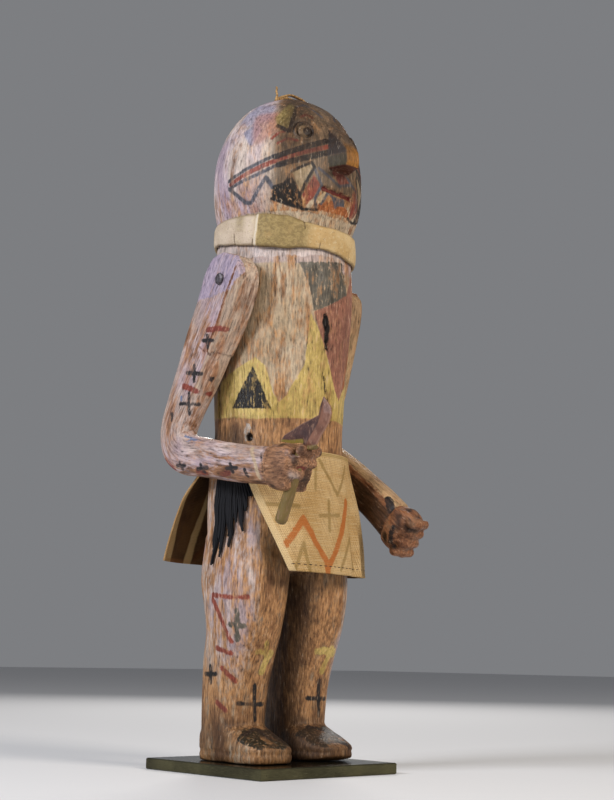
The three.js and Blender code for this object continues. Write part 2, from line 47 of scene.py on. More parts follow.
# The stage: a plain pale floor, soft lamps, and the camera where the photograph was taken from,
# low down in front of the figure's right shoulder. Its place is in degrees and millimetres.
LENS, SENSOR = 65.25, 36.0
CAMERA_TURN, CAMERA_TILT, CAMERA_ROLL = -42.1, 10.15, 1.0
CAMERA_BACK, CAMERA_SIDE, CAMERA_HEIGHT = 853.6, 17.1, 63.35
FLOOR_HALF, FLOOR_COLOUR, FLOOR_ROUGH = 6.0, (0.62, 0.62, 0.63, 1), 0.9
AIR_COLOUR, AIR_STRENGTH = (0.93, 0.95, 1.0, 1), 0.22
LAMP_AIM = (0, 0, 0.2)


def new_object(name, data):
    thing = bpy.data.objects.new(name, data)
    scene.collection.objects.link(thing)
    return thing


turn, tilt, roll = (math.radians(a) for a in (CAMERA_TURN, CAMERA_TILT, CAMERA_ROLL))
away = np.array([-math.sin(turn), math.cos(turn), 0])
across = np.array([math.cos(turn), math.sin(turn), 0])
ahead = away * math.cos(tilt) + np.array([0, 0, math.sin(tilt)])
upright = np.cross(across, ahead)
camera_right = math.cos(roll) * across + math.sin(roll) * upright
camera_up = -math.sin(roll) * across + math.cos(roll) * upright
camera = new_object("camera", bpy.data.cameras.new("camera"))
stand = (-away * CAMERA_BACK + across * CAMERA_SIDE + np.array([0, 0, CAMERA_HEIGHT])) * MM
facing = np.eye(4)
facing[:3, 0], facing[:3, 1], facing[:3, 2], facing[:3, 3] = (
    camera_right, camera_up, -ahead, stand)
camera.matrix_world = Matrix(facing.tolist())
camera.data.lens, camera.data.sensor_width = LENS, SENSOR
camera.data.clip_start, camera.data.clip_end = 0.01, 50
scene.camera = camera

floor_mesh = bpy.data.meshes.new("floor")
floor_mesh.from_pydata(
    [(x * FLOOR_HALF, y * FLOOR_HALF, 0) for x, y in ((-1, -1), (1, -1), (1, 1), (-1, 1))],
    [], [(0, 1, 2, 3)])
floor = new_object("floor", floor_mesh)
floor_paint = bpy.data.materials.new("floor_paint")
floor_paint.use_nodes = True
floor_shader = floor_paint.node_tree.nodes["Principled BSDF"]
floor_shader.inputs["Base Color"].default_value = FLOOR_COLOUR
floor_shader.inputs["Roughness"].default_value = FLOOR_ROUGH
floor_mesh.materials.append(floor_paint)

air = bpy.data.worlds.new("air")
scene.world = air
air.use_nodes = True
air.node_tree.nodes["Background"].inputs["Color"].default_value = AIR_COLOUR
air.node_tree.nodes["Background"].inputs["Strength"].default_value = AIR_STRENGTH
scene.view_settings.view_transform = "Standard"


def lamp(name, place, power, size, tint):
    """A soft square lamp that shines on the middle of the figure."""
    light = bpy.data.lights.new(name, "AREA")
    light.energy, light.size, light.color = power, size, tint
    holder = new_object(name, light)
    aim = np.array(LAMP_AIM) - np.array(place)
    back = -aim / np.linalg.norm(aim)
    side = np.cross([0, 0, 1], back)
    side /= np.linalg.norm(side)
    pose = np.eye(4)
    pose[:3, 0], pose[:3, 1], pose[:3, 2], pose[:3, 3] = side, np.cross(back, side), back, place
    holder.matrix_world = Matrix(pose.tolist())


lamp("window", (-1.30, 0.05, 0.80), 19, 0.45, (0.93, 0.95, 1.0))
lamp("front", (0.15, -1.35, 0.80), 17, 0.45, (1.0, 0.92, 0.82))
lamp("edge", (0.9, 0.9, 0.8), 7, 0.4, (1.0, 0.97, 0.93))


# The plate: a square of dark brass, sawn and filed at its edges and polished on top, lying
# under the doll's feet as its stand.
def colour(code):
    """A colour written as on a paint chart, as the light values that a shader takes."""
    parts = [int(code[i:i + 2], 16) / 255 for i in (1, 3, 5)]
    return (*[p / 12.92 if p <= 0.04045 else ((p + 0.055) / 1.055) ** 2.4 for p in parts], 1.0)


class Finish:
    """A node material in the making. Each method adds one node and returns its output."""

    def __init__(self, name):
        self.material = bpy.data.materials.new(name)
        self.material.use_nodes = True
        self.tree = self.material.node_tree
        self.shader = self.tree.nodes["Principled BSDF"]

    def node(self, kind, inputs=(), **settings):
        made = self.tree.nodes.new(kind)
        for key, value in settings.items():
            setattr(made, key, value)
        for key, value in dict(inputs).items():
            self.set(made.inputs[key], value)
        return made

    def set(self, socket, value):
        if isinstance(value, bpy.types.NodeSocket):
            self.tree.links.new(value, socket)
        else:
            socket.default_value = value

    def place(self):
        return self.node("ShaderNodeTexCoord").outputs["Object"]

    def field(self, name, output="Fac"):
        return self.node("ShaderNodeAttribute", attribute_name=name).outputs[output]

    def noise(self, place, stretch, scale, detail=3.0, rough=0.55):
        drawn = self.node("ShaderNodeMapping", {"Vector": place, "Scale": stretch})
        return self.node("ShaderNodeTexNoise", {
            "Vector": drawn.outputs["Vector"], "Scale": scale, "Detail": detail,
            "Roughness": rough}).outputs["Fac"]

    def span(self, value, low, high, start=0.0, end=1.0):
        return self.node("ShaderNodeMapRange", {
            "Value": value, "From Min": low, "From Max": high, "To Min": start, "To Max": end,
        }, interpolation_type="SMOOTHSTEP").outputs["Result"]

    def combine(self, operation, a, b):
        return self.node("ShaderNodeMath", {0: a, 1: b}, operation=operation).outputs[0]

    def blend(self, share, a, b, kind="MIX"):
        return self.node("ShaderNodeMix", {0: share, 6: a, 7: b}, data_type="RGBA",
                         blend_type=kind).outputs[2]

    def bump(self, height, depth, under=None):
        inputs = {"Height": height, "Distance": depth, "Strength": 1.0}
        if under is not None:
            inputs["Normal"] = under
        return self.node("ShaderNodeBump", inputs).outputs["Normal"]

    def end(self, base, roughness, normal=None, metallic=0.0, **plain):
        self.set(self.shader.inputs["Base Color"], base)
        self.set(self.shader.inputs["Roughness"], roughness)
        self.shader.inputs["Metallic"].default_value = metallic
        if normal is not None:
            self.set(self.shader.inputs["Normal"], normal)
        for key, value in plain.items():
            self.shader.inputs[key.replace("_", " ")].default_value = value
        return self.material


def dark_brass():
    finish = Finish("dark_brass")
    place = finish.place()
    cloud = finish.noise(place, (1, 1, 1), 26, 4)
    brushed = finish.noise(place, (1, 1, 26), 240, 2)
    speck = finish.noise(place, (1, 1, 1), 700, 3)
    base = finish.blend(finish.span(cloud, 0.35, 0.65), colour("#3f3c2a"), colour("#5d593f"))
    base = finish.blend(finish.span(brushed, 0.45, 0.75, 0, 0.5), base, colour("#787354"))
    base = finish.blend(finish.span(speck, 0.62, 0.72, 0, 0.6), base, colour("#2c2818"))
    # The faces that point up are painted darker, as a painted reflection on the polished top.
    up = finish.node("ShaderNodeNewGeometry").outputs["Normal"]
    height = finish.node("ShaderNodeSeparateXYZ", {0: up}).outputs["Z"]
    top = finish.span(height, 0.6, 0.9)
    base = finish.blend(top, base, colour("#332e1c"))
    rough = finish.combine("ADD", finish.span(top, 0, 1, 0.42, 0.13), finish.span(cloud, 0.3, 0.8, 0, 0.1))
    normal = finish.bump(brushed, 0.00008)
    return finish.end(base, rough, normal, metallic=0.85)


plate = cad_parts["base_plate"]
plate.data.materials.clear()
plate.data.materials.append(dark_brass())


# The figure: one cottonwood root, carved with a knife into a domed head, a round trunk and two
# squared legs on flat feet, then primed with pale clay and painted. It stands just on the plate.
SOLE = 6.65
# Each row of the trunk has its height above the soles, half its width and depth, how far back
# its middle is, and how square it is: 2 is an ellipse.
TRUNK = [
    [106, 38.5, 24.0, 0.5, 3.6], [122, 40.0, 28.0, 0.0, 3.2], [140, 40.5, 32.5, 0.0, 2.6],
    [160, 39.5, 36.5, 0.0, 2.2], [185, 38.2, 37.2, -0.8, 2.0], [200, 38.9, 38.0, -0.6, 2.0],
    [233, 40.6, 40.0, -0.8, 2.0], [252, 41.9, 41.2, -1.0, 2.0], [270, 42.6, 42.0, -1.3, 2.0],
    [284, 41.6, 41.4, -1.6, 2.0], [297, 40.4, 40.4, -2.4, 2.0], [308, 40.0, 40.2, -3.2, 2.0],
    [315, 41.6, 42.0, -4.2, 2.0], [321, 43.4, 43.6, -4.8, 2.0], [330, 44.8, 44.8, -5.0, 2.0],
    [340, 45.0, 45.0, -5.0, 2.0],
]
DOME_FOOT, CROWN, DOME_POWER = 340, 394, 2.1
TRUNK_RINGS, DOME_RINGS, TRUNK_SIDES = 110, 40, 144
# The legs' rows have the height, how far out and back, half the width and depth, and squareness.
LEG = [
    [4, 23.4, 6.8, 15.2, 16.5, 2.8], [22, 23.3, 6.4, 15.8, 17.0, 2.7],
    [40, 23.2, 5.4, 16.6, 17.8, 2.7], [56, 23.3, 3.0, 17.8, 19.2, 2.8],
    [70, 23.6, -0.6, 18.6, 20.4, 2.8], [86, 23.5, -1.4, 19.6, 23.0, 2.9],
    [102, 22.8, -0.2, 20.4, 25.6, 3.0], [126, 21.0, 0.0, 19.5, 25.5, 3.0],
]
LEG_RINGS, FOOT_RINGS, LEG_SIDES = 60, 48, 72
# The feet's rows run from heel to toe: how far ahead, half the width, the top and the rise below.
FOOT = [
    [-24.0, 7.0, 14, 1.2], [-21.5, 12.0, 20, 0], [-14.0, 14.6, 24, 0], [2.0, 15.4, 24, 0],
    [11.0, 15.8, 19.5, 0], [20.0, 16.0, 15.0, 0.5], [27.5, 14.4, 11.8, 1.2],
    [31.5, 11.0, 9.8, 2.0], [33.5, 6.0, 8.0, 3.0],
]
FOOT_OUT, TOE_LIFT = 23.4, {-1: 0.6, 1: 1.5}
# The beak's rows have the height, how far it juts out, and half its width at tip and root.
BEAK = [
    [339.5, 11.0, 4.8, 10.6], [342.5, 12.2, 5.2, 11.0], [350.0, 12.0, 4.8, 10.8],
    [358.0, 8.4, 4.2, 9.8], [366.0, 3.6, 3.4, 8.0], [372.0, -1.0, 2.8, 6.4],
]
BEAK_RINGS = 28
ARM_SEAT = {"out": 41.0, "low": 206, "high": 300}
EYE = {"turn": 29, "height": 361.8, "ball": 4.2, "bulge": 1.5, "groove": 4.45, "rim": 5.6,
       "lid": 7.4, "pupil": 3.1}
# The waves that the knife left on the wood: how deep, how long each way, and their seed.
KNIFE_WORK = [(0.42, (15, 15, 46), 1), (0.16, (5.5, 5.5, 30), 2), (0.10, (2.4, 2.4, 26), 3)]
ROUND = 42.0
BODY_VOXEL = 1.2
FACE_PATCH = {"ahead": 22, "low": 318, "high": 375, "out": 34}


def along(stations, place, column):
    """A smooth run through stations, whose rows have their place first."""
    if place <= stations[0][0]:
        return stations[0][column]
    if place >= stations[-1][0]:
        return stations[-1][column]
    i = next(k for k, row in enumerate(stations) if row[0] > place) - 1

    def slope(k):
        a, b = stations[max(k - 1, 0)], stations[min(k + 1, len(stations) - 1)]
        return (b[column] - a[column]) / (b[0] - a[0])

    start, end = stations[i], stations[i + 1]
    reach = end[0] - start[0]
    t = (place - start[0]) / reach
    rise = (1 - t) ** 2 * (1 + 2 * t) * start[column] + t ** 2 * (3 - 2 * t) * end[column]
    return rise + reach * t * (1 - t) * ((1 - t) * slope(i) - t * slope(i + 1))


def ring(middle, side, over, wide, deep, power, count):
    """One rounded section: power 2 is an ellipse, and higher powers are squarer."""
    angles = 2 * math.pi * (np.arange(count) + 0.5) / count
    u = np.sign(np.cos(angles)) * np.abs(np.cos(angles)) ** (2 / power) * wide
    v = np.sign(np.sin(angles)) * np.abs(np.sin(angles)) ** (2 / power) * deep
    return np.asarray(middle) + np.outer(u, side) + np.outer(v, over)


def loft(rings):
    """The points and faces of a closed skin over rings with equal counts."""
    count = len(rings[0])
    faces = [
        (i * count + j, i * count + (j + 1) % count,
         (i + 1) * count + (j + 1) % count, (i + 1) * count + j)
        for i in range(len(rings) - 1) for j in range(count)]
    faces.append(tuple(reversed(range(count))))
    faces.append(tuple(range((len(rings) - 1) * count, len(rings) * count)))
    return np.concatenate(rings), faces


def whole(name, parts):
    """One mesh of several skins, in metres, with its faces turned outwards."""
    points, faces, start = [], [], 0
    for some, some_faces in parts:
        points.append(some)
        faces += [tuple(start + i for i in face) for face in some_faces]
        start += len(some)
    mesh = bpy.data.meshes.new(name)
    mesh.from_pydata((np.concatenate(points) * MM).tolist(), [], faces)
    shape = bmesh.new()
    shape.from_mesh(mesh)
    bmesh.ops.recalc_face_normals(shape, faces=shape.faces)
    shape.to_mesh(mesh)
    shape.free()
    return mesh


def carved(name, parts, voxel):
    """The skins fused into one even surface, as a piece cut from one block."""
    rough = new_object(name, whole(name, parts))
    fuse = rough.modifiers.new("fuse", "REMESH")
    fuse.mode, fuse.voxel_size, fuse.use_smooth_shade = "VOXEL", voxel * MM, True
    depsgraph = bpy.context.evaluated_depsgraph_get()
    rough_mesh = rough.data
    made = bpy.data.meshes.new_from_object(rough.evaluated_get(depsgraph))
    rough.modifiers.clear()
    rough.data = made
    bpy.data.meshes.remove(rough_mesh)
    made.name = name
    return rough


def points_of(mesh):
    flat = np.empty(len(mesh.vertices) * 3, np.float32)
    mesh.vertices.foreach_get("co", flat)
    return flat.reshape(-1, 3).astype(float) / MM


def normals_of(mesh):
    flat = np.empty(len(mesh.vertices) * 3, np.float32)
    mesh.vertex_normals.foreach_get("vector", flat)
    return flat.reshape(-1, 3).astype(float)


def move_to(mesh, points):
    mesh.vertices.foreach_set("co", (points * MM).astype(np.float32).ravel())
    mesh.update()


def mark(mesh, name, values):
    """Stores a value, or a vector, at each point for the shader to read."""
    kind = "FLOAT_VECTOR" if values.ndim == 2 else "FLOAT"
    data = mesh.attributes.new(name, kind, "POINT").data
    key = "vector" if values.ndim == 2 else "value"
    data.foreach_set(key, values.astype(np.float32).ravel())


def drift(points, size, seed):
    """Smooth values from -1 to 1 that wander over distances of about size."""
    place = points / np.asarray(size, float) + seed * 17.3
    cell = np.floor(place).astype(np.int64)
    t = place - cell
    t = t * t * (3 - 2 * t)
    total = np.zeros(len(points))
    for step in product((0, 1), repeat=3):
        c = cell + np.array(step)
        mixed = (c[:, 0] * 73856093) ^ (c[:, 1] * 19349663) ^ (c[:, 2] * 83492791)
        mixed = (mixed ^ (mixed >> 13)) * 1274126177 & 0x7FFFFFFF
        mixed = ((mixed ^ (mixed >> 16)) * 668265263) & 0x7FFFFFFF
        share = np.prod(np.where(np.array(step) == 1, t, 1 - t), axis=1)
        total += share * (mixed / 0x3FFFFFFF - 1)
    return total


def line(points, path, half):
    """Distance to a brush stroke's edge, in millimetres: below 0 is inside it."""
    best = np.full(len(points), 1e3)
    path = [np.array(p, float) for p in path]
    for a, b in zip(path, path[1:]):
        run = b - a
        share = np.clip(((points - a) @ run) / (run @ run), 0, 1)
        best = np.minimum(best, np.linalg.norm(points - a - share[:, None] * run, axis=1))
    return best - half


def area(points, corners):
    """Distance to a painted area's edge, in millimetres: below 0 is inside it."""
    edge = line(points, [*corners, corners[0]], 0)
    inside = np.zeros(len(points), bool)
    x, y = points.T
    for (ax, ay), (bx, by) in zip(corners, [*corners[1:], corners[0]]):
        with np.errstate(divide="ignore", invalid="ignore"):
            crosses = ((ay > y) != (by > y)) & (x < (bx - ax) * (y - ay) / (by - ay) + ax)
        inside ^= crosses
    return np.where(inside, -edge, edge)


def least(*fields):
    return np.minimum.reduce(fields)


def soft_step(values, low, high):
    t = np.clip((values - low) / (high - low), 0, 1)
    return t * t * (3 - 2 * t)


X, Y, Z = np.eye(3)


def trunk_at(height):
    return [along(TRUNK, height, column) for column in (1, 2, 3, 4)]


def trunk_skin():
    rings = []
    for height in np.linspace(TRUNK[0][0], DOME_FOOT, TRUNK_RINGS):
        wide, deep, back, power = trunk_at(height)
        rings.append(ring((0, back, SOLE + height), X, Y, wide, deep, power, TRUNK_SIDES))
    wide, deep, back, power = trunk_at(DOME_FOOT)
    for angle in np.linspace(0, math.pi / 2, DOME_RINGS)[1:-1]:
        rise = DOME_FOOT + (CROWN - DOME_FOOT) * math.sin(angle) ** (2 / DOME_POWER)
        shrink = math.cos(angle) ** (2 / DOME_POWER)
        rings.append(ring((0, back, SOLE + rise), X, Y, wide * shrink, deep * shrink, power,
                          TRUNK_SIDES))
    return loft(rings)


def leg_skin(side):
    rings = []
    for height in np.linspace(LEG[0][0], LEG[-1][0], LEG_RINGS):
        out, back, wide, deep, power = (along(LEG, height, c) for c in range(1, 6))
        rings.append(ring((side * out, back, SOLE + height), X, Y, wide, deep, power, LEG_SIDES))
    return loft(rings)


def foot_skin(side):
    rings = []
    for reach in np.linspace(FOOT[0][0], FOOT[-1][0], FOOT_RINGS):
        wide, top, rise = (along(FOOT, reach, c) for c in (1, 2, 3))
        low = rise * TOE_LIFT[side] - 1
        middle = (side * FOOT_OUT, -reach, SOLE + (top + low) / 2)
        upper = ring(middle, X, Z, wide, (top - low) / 2, 2.8, LEG_SIDES)
        lower = ring(middle, X, Z, wide, (top - low) / 2, 7, LEG_SIDES)
        rings.append(np.where(upper[:, 2:] > middle[2] - 2, upper, lower))
    return loft(rings)


def beak_skin():
    rings = []
    for height in np.linspace(BEAK[0][0], BEAK[-1][0], BEAK_RINGS):
        out, tip, root = (along(BEAK, height, c) for c in (1, 2, 3))
        deep, back = trunk_at(height)[1:3]
        rise = max(0.0, height - DOME_FOOT) / (CROWN - DOME_FOOT)
        face = back - deep * (1 - rise ** DOME_POWER) ** (1 / DOME_POWER)
        rings.append(np.array([
            (x, y, SOLE + height) for x, y in
            ((root, face + 6), (-root, face + 6), (-tip, face - out), (tip, face - out))]))
    return loft(rings)


def turn_and_height(points):
    """Where points lie on the round of the trunk and head: millimetres round from the front,
    at one common radius, and millimetres above the soles."""
    height = points[:, 2] - SOLE
    rows = np.array([[h, along(TRUNK, h, 3)] for h in range(100, 400, 5)])
    back = np.interp(height, rows[:, 0], rows[:, 1])
    angle = np.arctan2(points[:, 0], back - points[:, 1])
    return np.stack([angle * ROUND, height], axis=1)


def on_round(path, radius=ROUND):
    """A path given in degrees round from the front and height, as millimetres on the round."""
    return [(math.radians(a) * radius, h) for a, h in path]


def mirrored(path):
    return [(-a, h) for a, h in path]


def both(path):
    return [path, mirrored(path)]


def eye_middle(side):
    return np.array([side * math.radians(EYE["turn"]) * ROUND, EYE["height"]])


def band_at(distance, middle, half):
    """A soft band from 0 to 1, as wide as a groove or rim."""
    return np.exp(-((distance - middle) / half) ** 2)


# The painted marks on the head and trunk, in degrees round from the front, which grow toward
# the figure's left, and millimetres above the soles.
BROW = [(-51, 365), (-41.5, 361), (-34.5, 380)]
BROW_OVER = [(-34.5, 380), (-23, 384), (-14, 379), (-8, 375)]
FOREHEAD_OLIVE = [(-52, 371), (-41, 382), (-36, 379), (-42, 364), (-50, 367)]
STRIPE_UP = [(-11, 357), (-31, 350.5), (-51, 344.5)]
STRIPE_UP_FADED = [(-51, 345.5), (-64, 341.5), (-80, 337), (-92, 334)]
STRIPE_RED = [(-11, 353.2), (-31, 347.5), (-52, 341.8), (-70, 337), (-90, 331.5)]
STRIPE_LOW = [(-11, 349.5), (-31, 343.6), (-49, 339.5)]
STRIPE_LOW_FADED = [(-49, 339.5), (-67, 334), (-92, 329)]
ZIGZAG = [(-92, 329.5), (-76, 319), (-71, 318.5), (-58, 332.5), (-53, 326)]
JAW_BLACK = [(-53, 327), (-53.5, 319.5), (-41, 316.5), (-28, 314), (-29, 317), (-32, 323),
             (-37, 330), (-39.5, 335.5), (-44, 329.5)]
TOOTH = [(-38.5, 335), (-24, 341.5), (-22.5, 339), (-32, 324)]
TOOTH_LINES = [[(-39, 335.5), (-24, 342), (-21.5, 339.5), (-29, 328), (-32, 321)],
               [(-23, 341), (-19, 335), (-15, 329), (-20, 321), (-18, 316)],
               [(-18, 339), (-6, 334), (1, 331), (13, 334)],
               [(5, 339.5), (13, 335), (23, 331.5), (27, 322)],
               [(-9, 326), (-3, 322.5), (0, 318.5)], [(-9, 326), (-14, 318.5)]]
JAW_BORDER = [(-54, 319.8), (-42, 316.8), (-28, 314.2), (-17, 315)]
DIAMOND = [(-22, 334.5), (-16.5, 329), (-21.5, 321), (-26, 316.5), (-30.5, 322)]
UNDER_NOSE_RED = [(-7, 338.5), (3, 339.5), (12, 335), (2, 331)]
CHEEK_CREAM = [(-19, 321), (-10, 327), (-8, 325), (-14, 318)]
CHIN_GREY = [(-4, 324), (7, 324), (9, 320), (0, 319)]
CHIN_RED = [(16, 324), (24, 325), (26, 317), (20, 314.5)]
CHIN_ORANGE = [(-16, 318.5), (-4, 321.5), (14, 319), (18, 315), (-16, 315)]
MOUTH_LINE = [(-13, 327.4), (0, 326.2), (14, 325.6)]
EYE_REDS = [[(-31, 372), (-25, 374.5), (-20, 372.5)], [(-50, 353), (-43, 356), (-35, 355)],
            [(-55, 356.5), (-50, 360), (-45, 361)]]
HEAD_BLUE = [(-80, 363), (-71, 367.5), (-66, 363), (-72, 354.5)]
HEAD_SMUDGE = [(-90, 374), (-84, 383), (-60, 380), (-60, 372), (-75, 369)]
HEAD_RED = [(-71, 372), (-56, 373), (-55, 362), (-67, 356)]
CHEST_GREY = [(-28, 283), (17, 288), (25, 270), (0, 260), (-14, 255), (-17, 264), (-21, 273)]
PANEL = [(-14, 255), (0, 260), (25, 271), (34, 283), (46, 268), (44, 240), (33, 215),
         (24, 206), (15, 212), (6, 225), (-6, 242)]
PANEL_EDGE = [(38, 281), (44, 262), (43, 240), (34, 216)]
BELLY_YELLOW = [(-128, 196), (-97, 216), (-75, 223), (-62, 227), (-53, 222), (-46, 206),
                (-41, 201), (-35, 205), (-29, 213), (-20, 223), (-17, 254), (-6, 242), (6, 225),
                (20, 208), (30, 212), (60, 226), (100, 216), (128, 196), (60, 193), (20, 194),
                (-20, 192.5), (-60, 191.5)]
BELLY_BLACK = [(-64, 222), (-85, 198.5), (-47.5, 197)]
KNOT = [(-2.4, 254), (-1.2, 249), (0.2, 242), (1.9, 236)]
ROT = [(-3.4, 250), (-2.2, 256), (0.6, 251), (2.4, 246), (3.6, 238), (2.6, 233), (0.2, 236),
       (-2.0, 243)]
# Cracks in the wood: each one's path, half its width and its depth
SLITS = [([(1, 218), (4, 209)], 0.75, 1.6), ([(20, 286), (21.5, 279)], 1.3, 2.6),
         ([(-104.5, 181), (-104, 214)], 0.8, 1.6)]
HOLE = [(-67.2, 181.6), (-67.0, 181.0)]
HIP_WHITE = [(-69, 187), (-70, 181)]
BAND_PALE = [(-130, 283.5), (-60, 286), (-20, 288), (30, 290), (130, 286), (130, 301),
             (-130, 301)]

# Marks below this height are on the legs, and a belt of the trunk is bare wood.
LEGS_BELOW, BELT = 130, {"low": 164, "high": 194.5}

# Marks on the legs and feet, as points on the wood: across, back and above the soles.
LEG_REDS = [
    [(-43, 3, 91.8), (-42.4, -11, 90.4), (-38, -21, 90.4)],
    [(-43, 3, 89.5), (-42.4, -5, 77.7), (-40.2, -11, 66)], [(-41.4, 0, 62.3), (-39.4, -10, 59.6)],
    [(-40.2, -3, 51.3), (-36, -10, 44)], [(-39.3, 2, 32.5), (-37.8, -4, 28)],
    [(-24, -17, 15), (-17, -24, 12)]]
LEG_CROSSES = [
    [[(-40.4, -15.6, 83), (-38.6, -14.2, 67)], [(-41.4, -11, 75.3), (-37.5, -18, 74.6)]],
    [[(-40.6, 7, 52), (-40, 7.2, 43)], [(-39.4, 13, 47.7), (-40.4, 2, 47.9)]],
    [[(-24.2, -12.6, 42), (-21.8, -10.4, 23)], [(-33, -9.4, 32), (-15, -11.4, 31.4)]],
    [[(24.4, -13, 45), (27.4, -10.3, 24.5)], [(17, -11.2, 34.8), (32, -10.2, 34.4)]]]
LEG_YELLOWS = [
    [(-22, -18, 66), (-19, -17, 58), (-20, -14, 50)], [(-27, -17, 61), (-15, -17, 60)],
    [(18, -18, 62), (33, -17, 61)], [(29, -17, 64), (26, -15, 50)]]
SHOE_LINES = [
    [(-38, -13, 8), (-34, -17, 15), (-24, -13.5, 18.2), (-16, -18, 15.4), (-14, -26, 12)],
    [(-24, -13.5, 18.2), (-22, -24, 13.6)], [(10, -15, 12), (18, -12, 18.4), (28, -17, 16.4),
                                           (34, -27, 12)], [(26, -30, 11), (33, -33, 8)]]


def carve_body(body):
    """Cuts the eyes, mouth, knot and cracks, the knife's long facets and the raised grain."""
    mesh = body.data
    points, normals = points_of(mesh), normals_of(mesh)
    spots = turn_and_height(points)
    height = spots[:, 1]
    front = points[:, 1] < 0
    depth = sum(deep * drift(points, size, seed) for deep, size, seed in KNIFE_WORK)
    flat_sole = points[:, 2] < SOLE + 0.4
    for side in (-1, 1):
        off = (spots - eye_middle(side)) * (1.02, 1.0)
        r = np.hypot(*off.T)
        upper = soft_step(off[:, 1], -2, 3)
        ball = np.sqrt(np.clip(1 - (r / EYE["ball"]) ** 2, 0, 1)) * EYE["bulge"]
        shape = (ball + band_at(r, EYE["rim"], 0.8) - 0.8 * band_at(r, EYE["groove"], 0.5)
                 - 0.7 * upper * band_at(r, EYE["lid"], 0.7))
        depth = np.where(front & (r < 12), depth * soft_step(r, 6, 11) + shape, depth)
    beak_zone = front & (np.abs(points[:, 0]) < 14) & (height > 338) & (height < 373)
    depth = np.where(beak_zone, depth * 0.35, depth)
    jag = 0.5 * drift(points, (2.2, 2.2, 2.2), 4)
    mouth = line(spots, on_round(MOUTH_LINE), 1.5) + jag
    depth -= 1.5 * soft_step(-mouth, -0.6, 0.9) * front
    wobble = 0.8 * drift(points, (3, 3, 5), 5)
    knot = line(spots, on_round(KNOT), 1.6) + 1.3 * wobble
    depth -= 3.6 * soft_step(-knot, -0.4, 1.5) * front
    for path, half, deep in SLITS:
        slit = line(spots, on_round(path), half) + 0.3 * wobble
        depth -= deep * soft_step(-slit, -0.5, 0.7)
    hole = line(spots, on_round(HOLE), 2.2)
    depth -= 3.0 * soft_step(-hole, -0.3, 1.2) * front
    shoe = (height < 9) & (points[:, 1] < 26)
    depth -= np.where(shoe, 0.7 * band_at(height, 5.4, 0.8), 0)
    depth[flat_sole] = 0
    moved = points + normals * depth[:, None]
    seat = (height > ARM_SEAT["low"]) & (height < ARM_SEAT["high"])
    limit = ARM_SEAT["out"]
    moved[seat, 0] = np.clip(moved[seat, 0], -limit, limit)
    moved[:, 2] = np.maximum(moved[:, 2], SOLE)
    move_to(mesh, moved)


def split_face(mesh):
    """Halves the squares of the face, so that the eyes and mouth are cut finely."""
    shape = bmesh.new()
    shape.from_mesh(mesh)
    chosen = []
    for face in shape.faces:
        x, y, z = (c / MM for c in face.calc_center_median())
        in_height = FACE_PATCH["low"] < z - SOLE < FACE_PATCH["high"]
        if y < -FACE_PATCH["ahead"] and in_height and abs(x) < FACE_PATCH["out"]:
            chosen.append(face)
    edges = {edge for face in chosen for edge in face.edges}
    bmesh.ops.subdivide_edges(shape, edges=list(edges), cuts=1, use_grid_fill=True)
    shape.to_mesh(mesh)
    shape.free()


def trunk_front(height):
    """How far the face stands forward at each height, as a y value."""
    rows = np.array([[h, along(TRUNK, h, 3) - along(TRUNK, h, 2)] for h in range(100, 341, 5)])
    flat = np.interp(np.minimum(height, DOME_FOOT), rows[:, 0], rows[:, 1])
    rise = np.clip((height - DOME_FOOT) / (CROWN - DOME_FOOT), 0, 0.999)
    deep = along(TRUNK, DOME_FOOT, 2)
    dome = along(TRUNK, DOME_FOOT, 3) - deep * (1 - rise ** DOME_POWER) ** (1 / DOME_POWER)
    return np.where(height > DOME_FOOT, dome, flat)


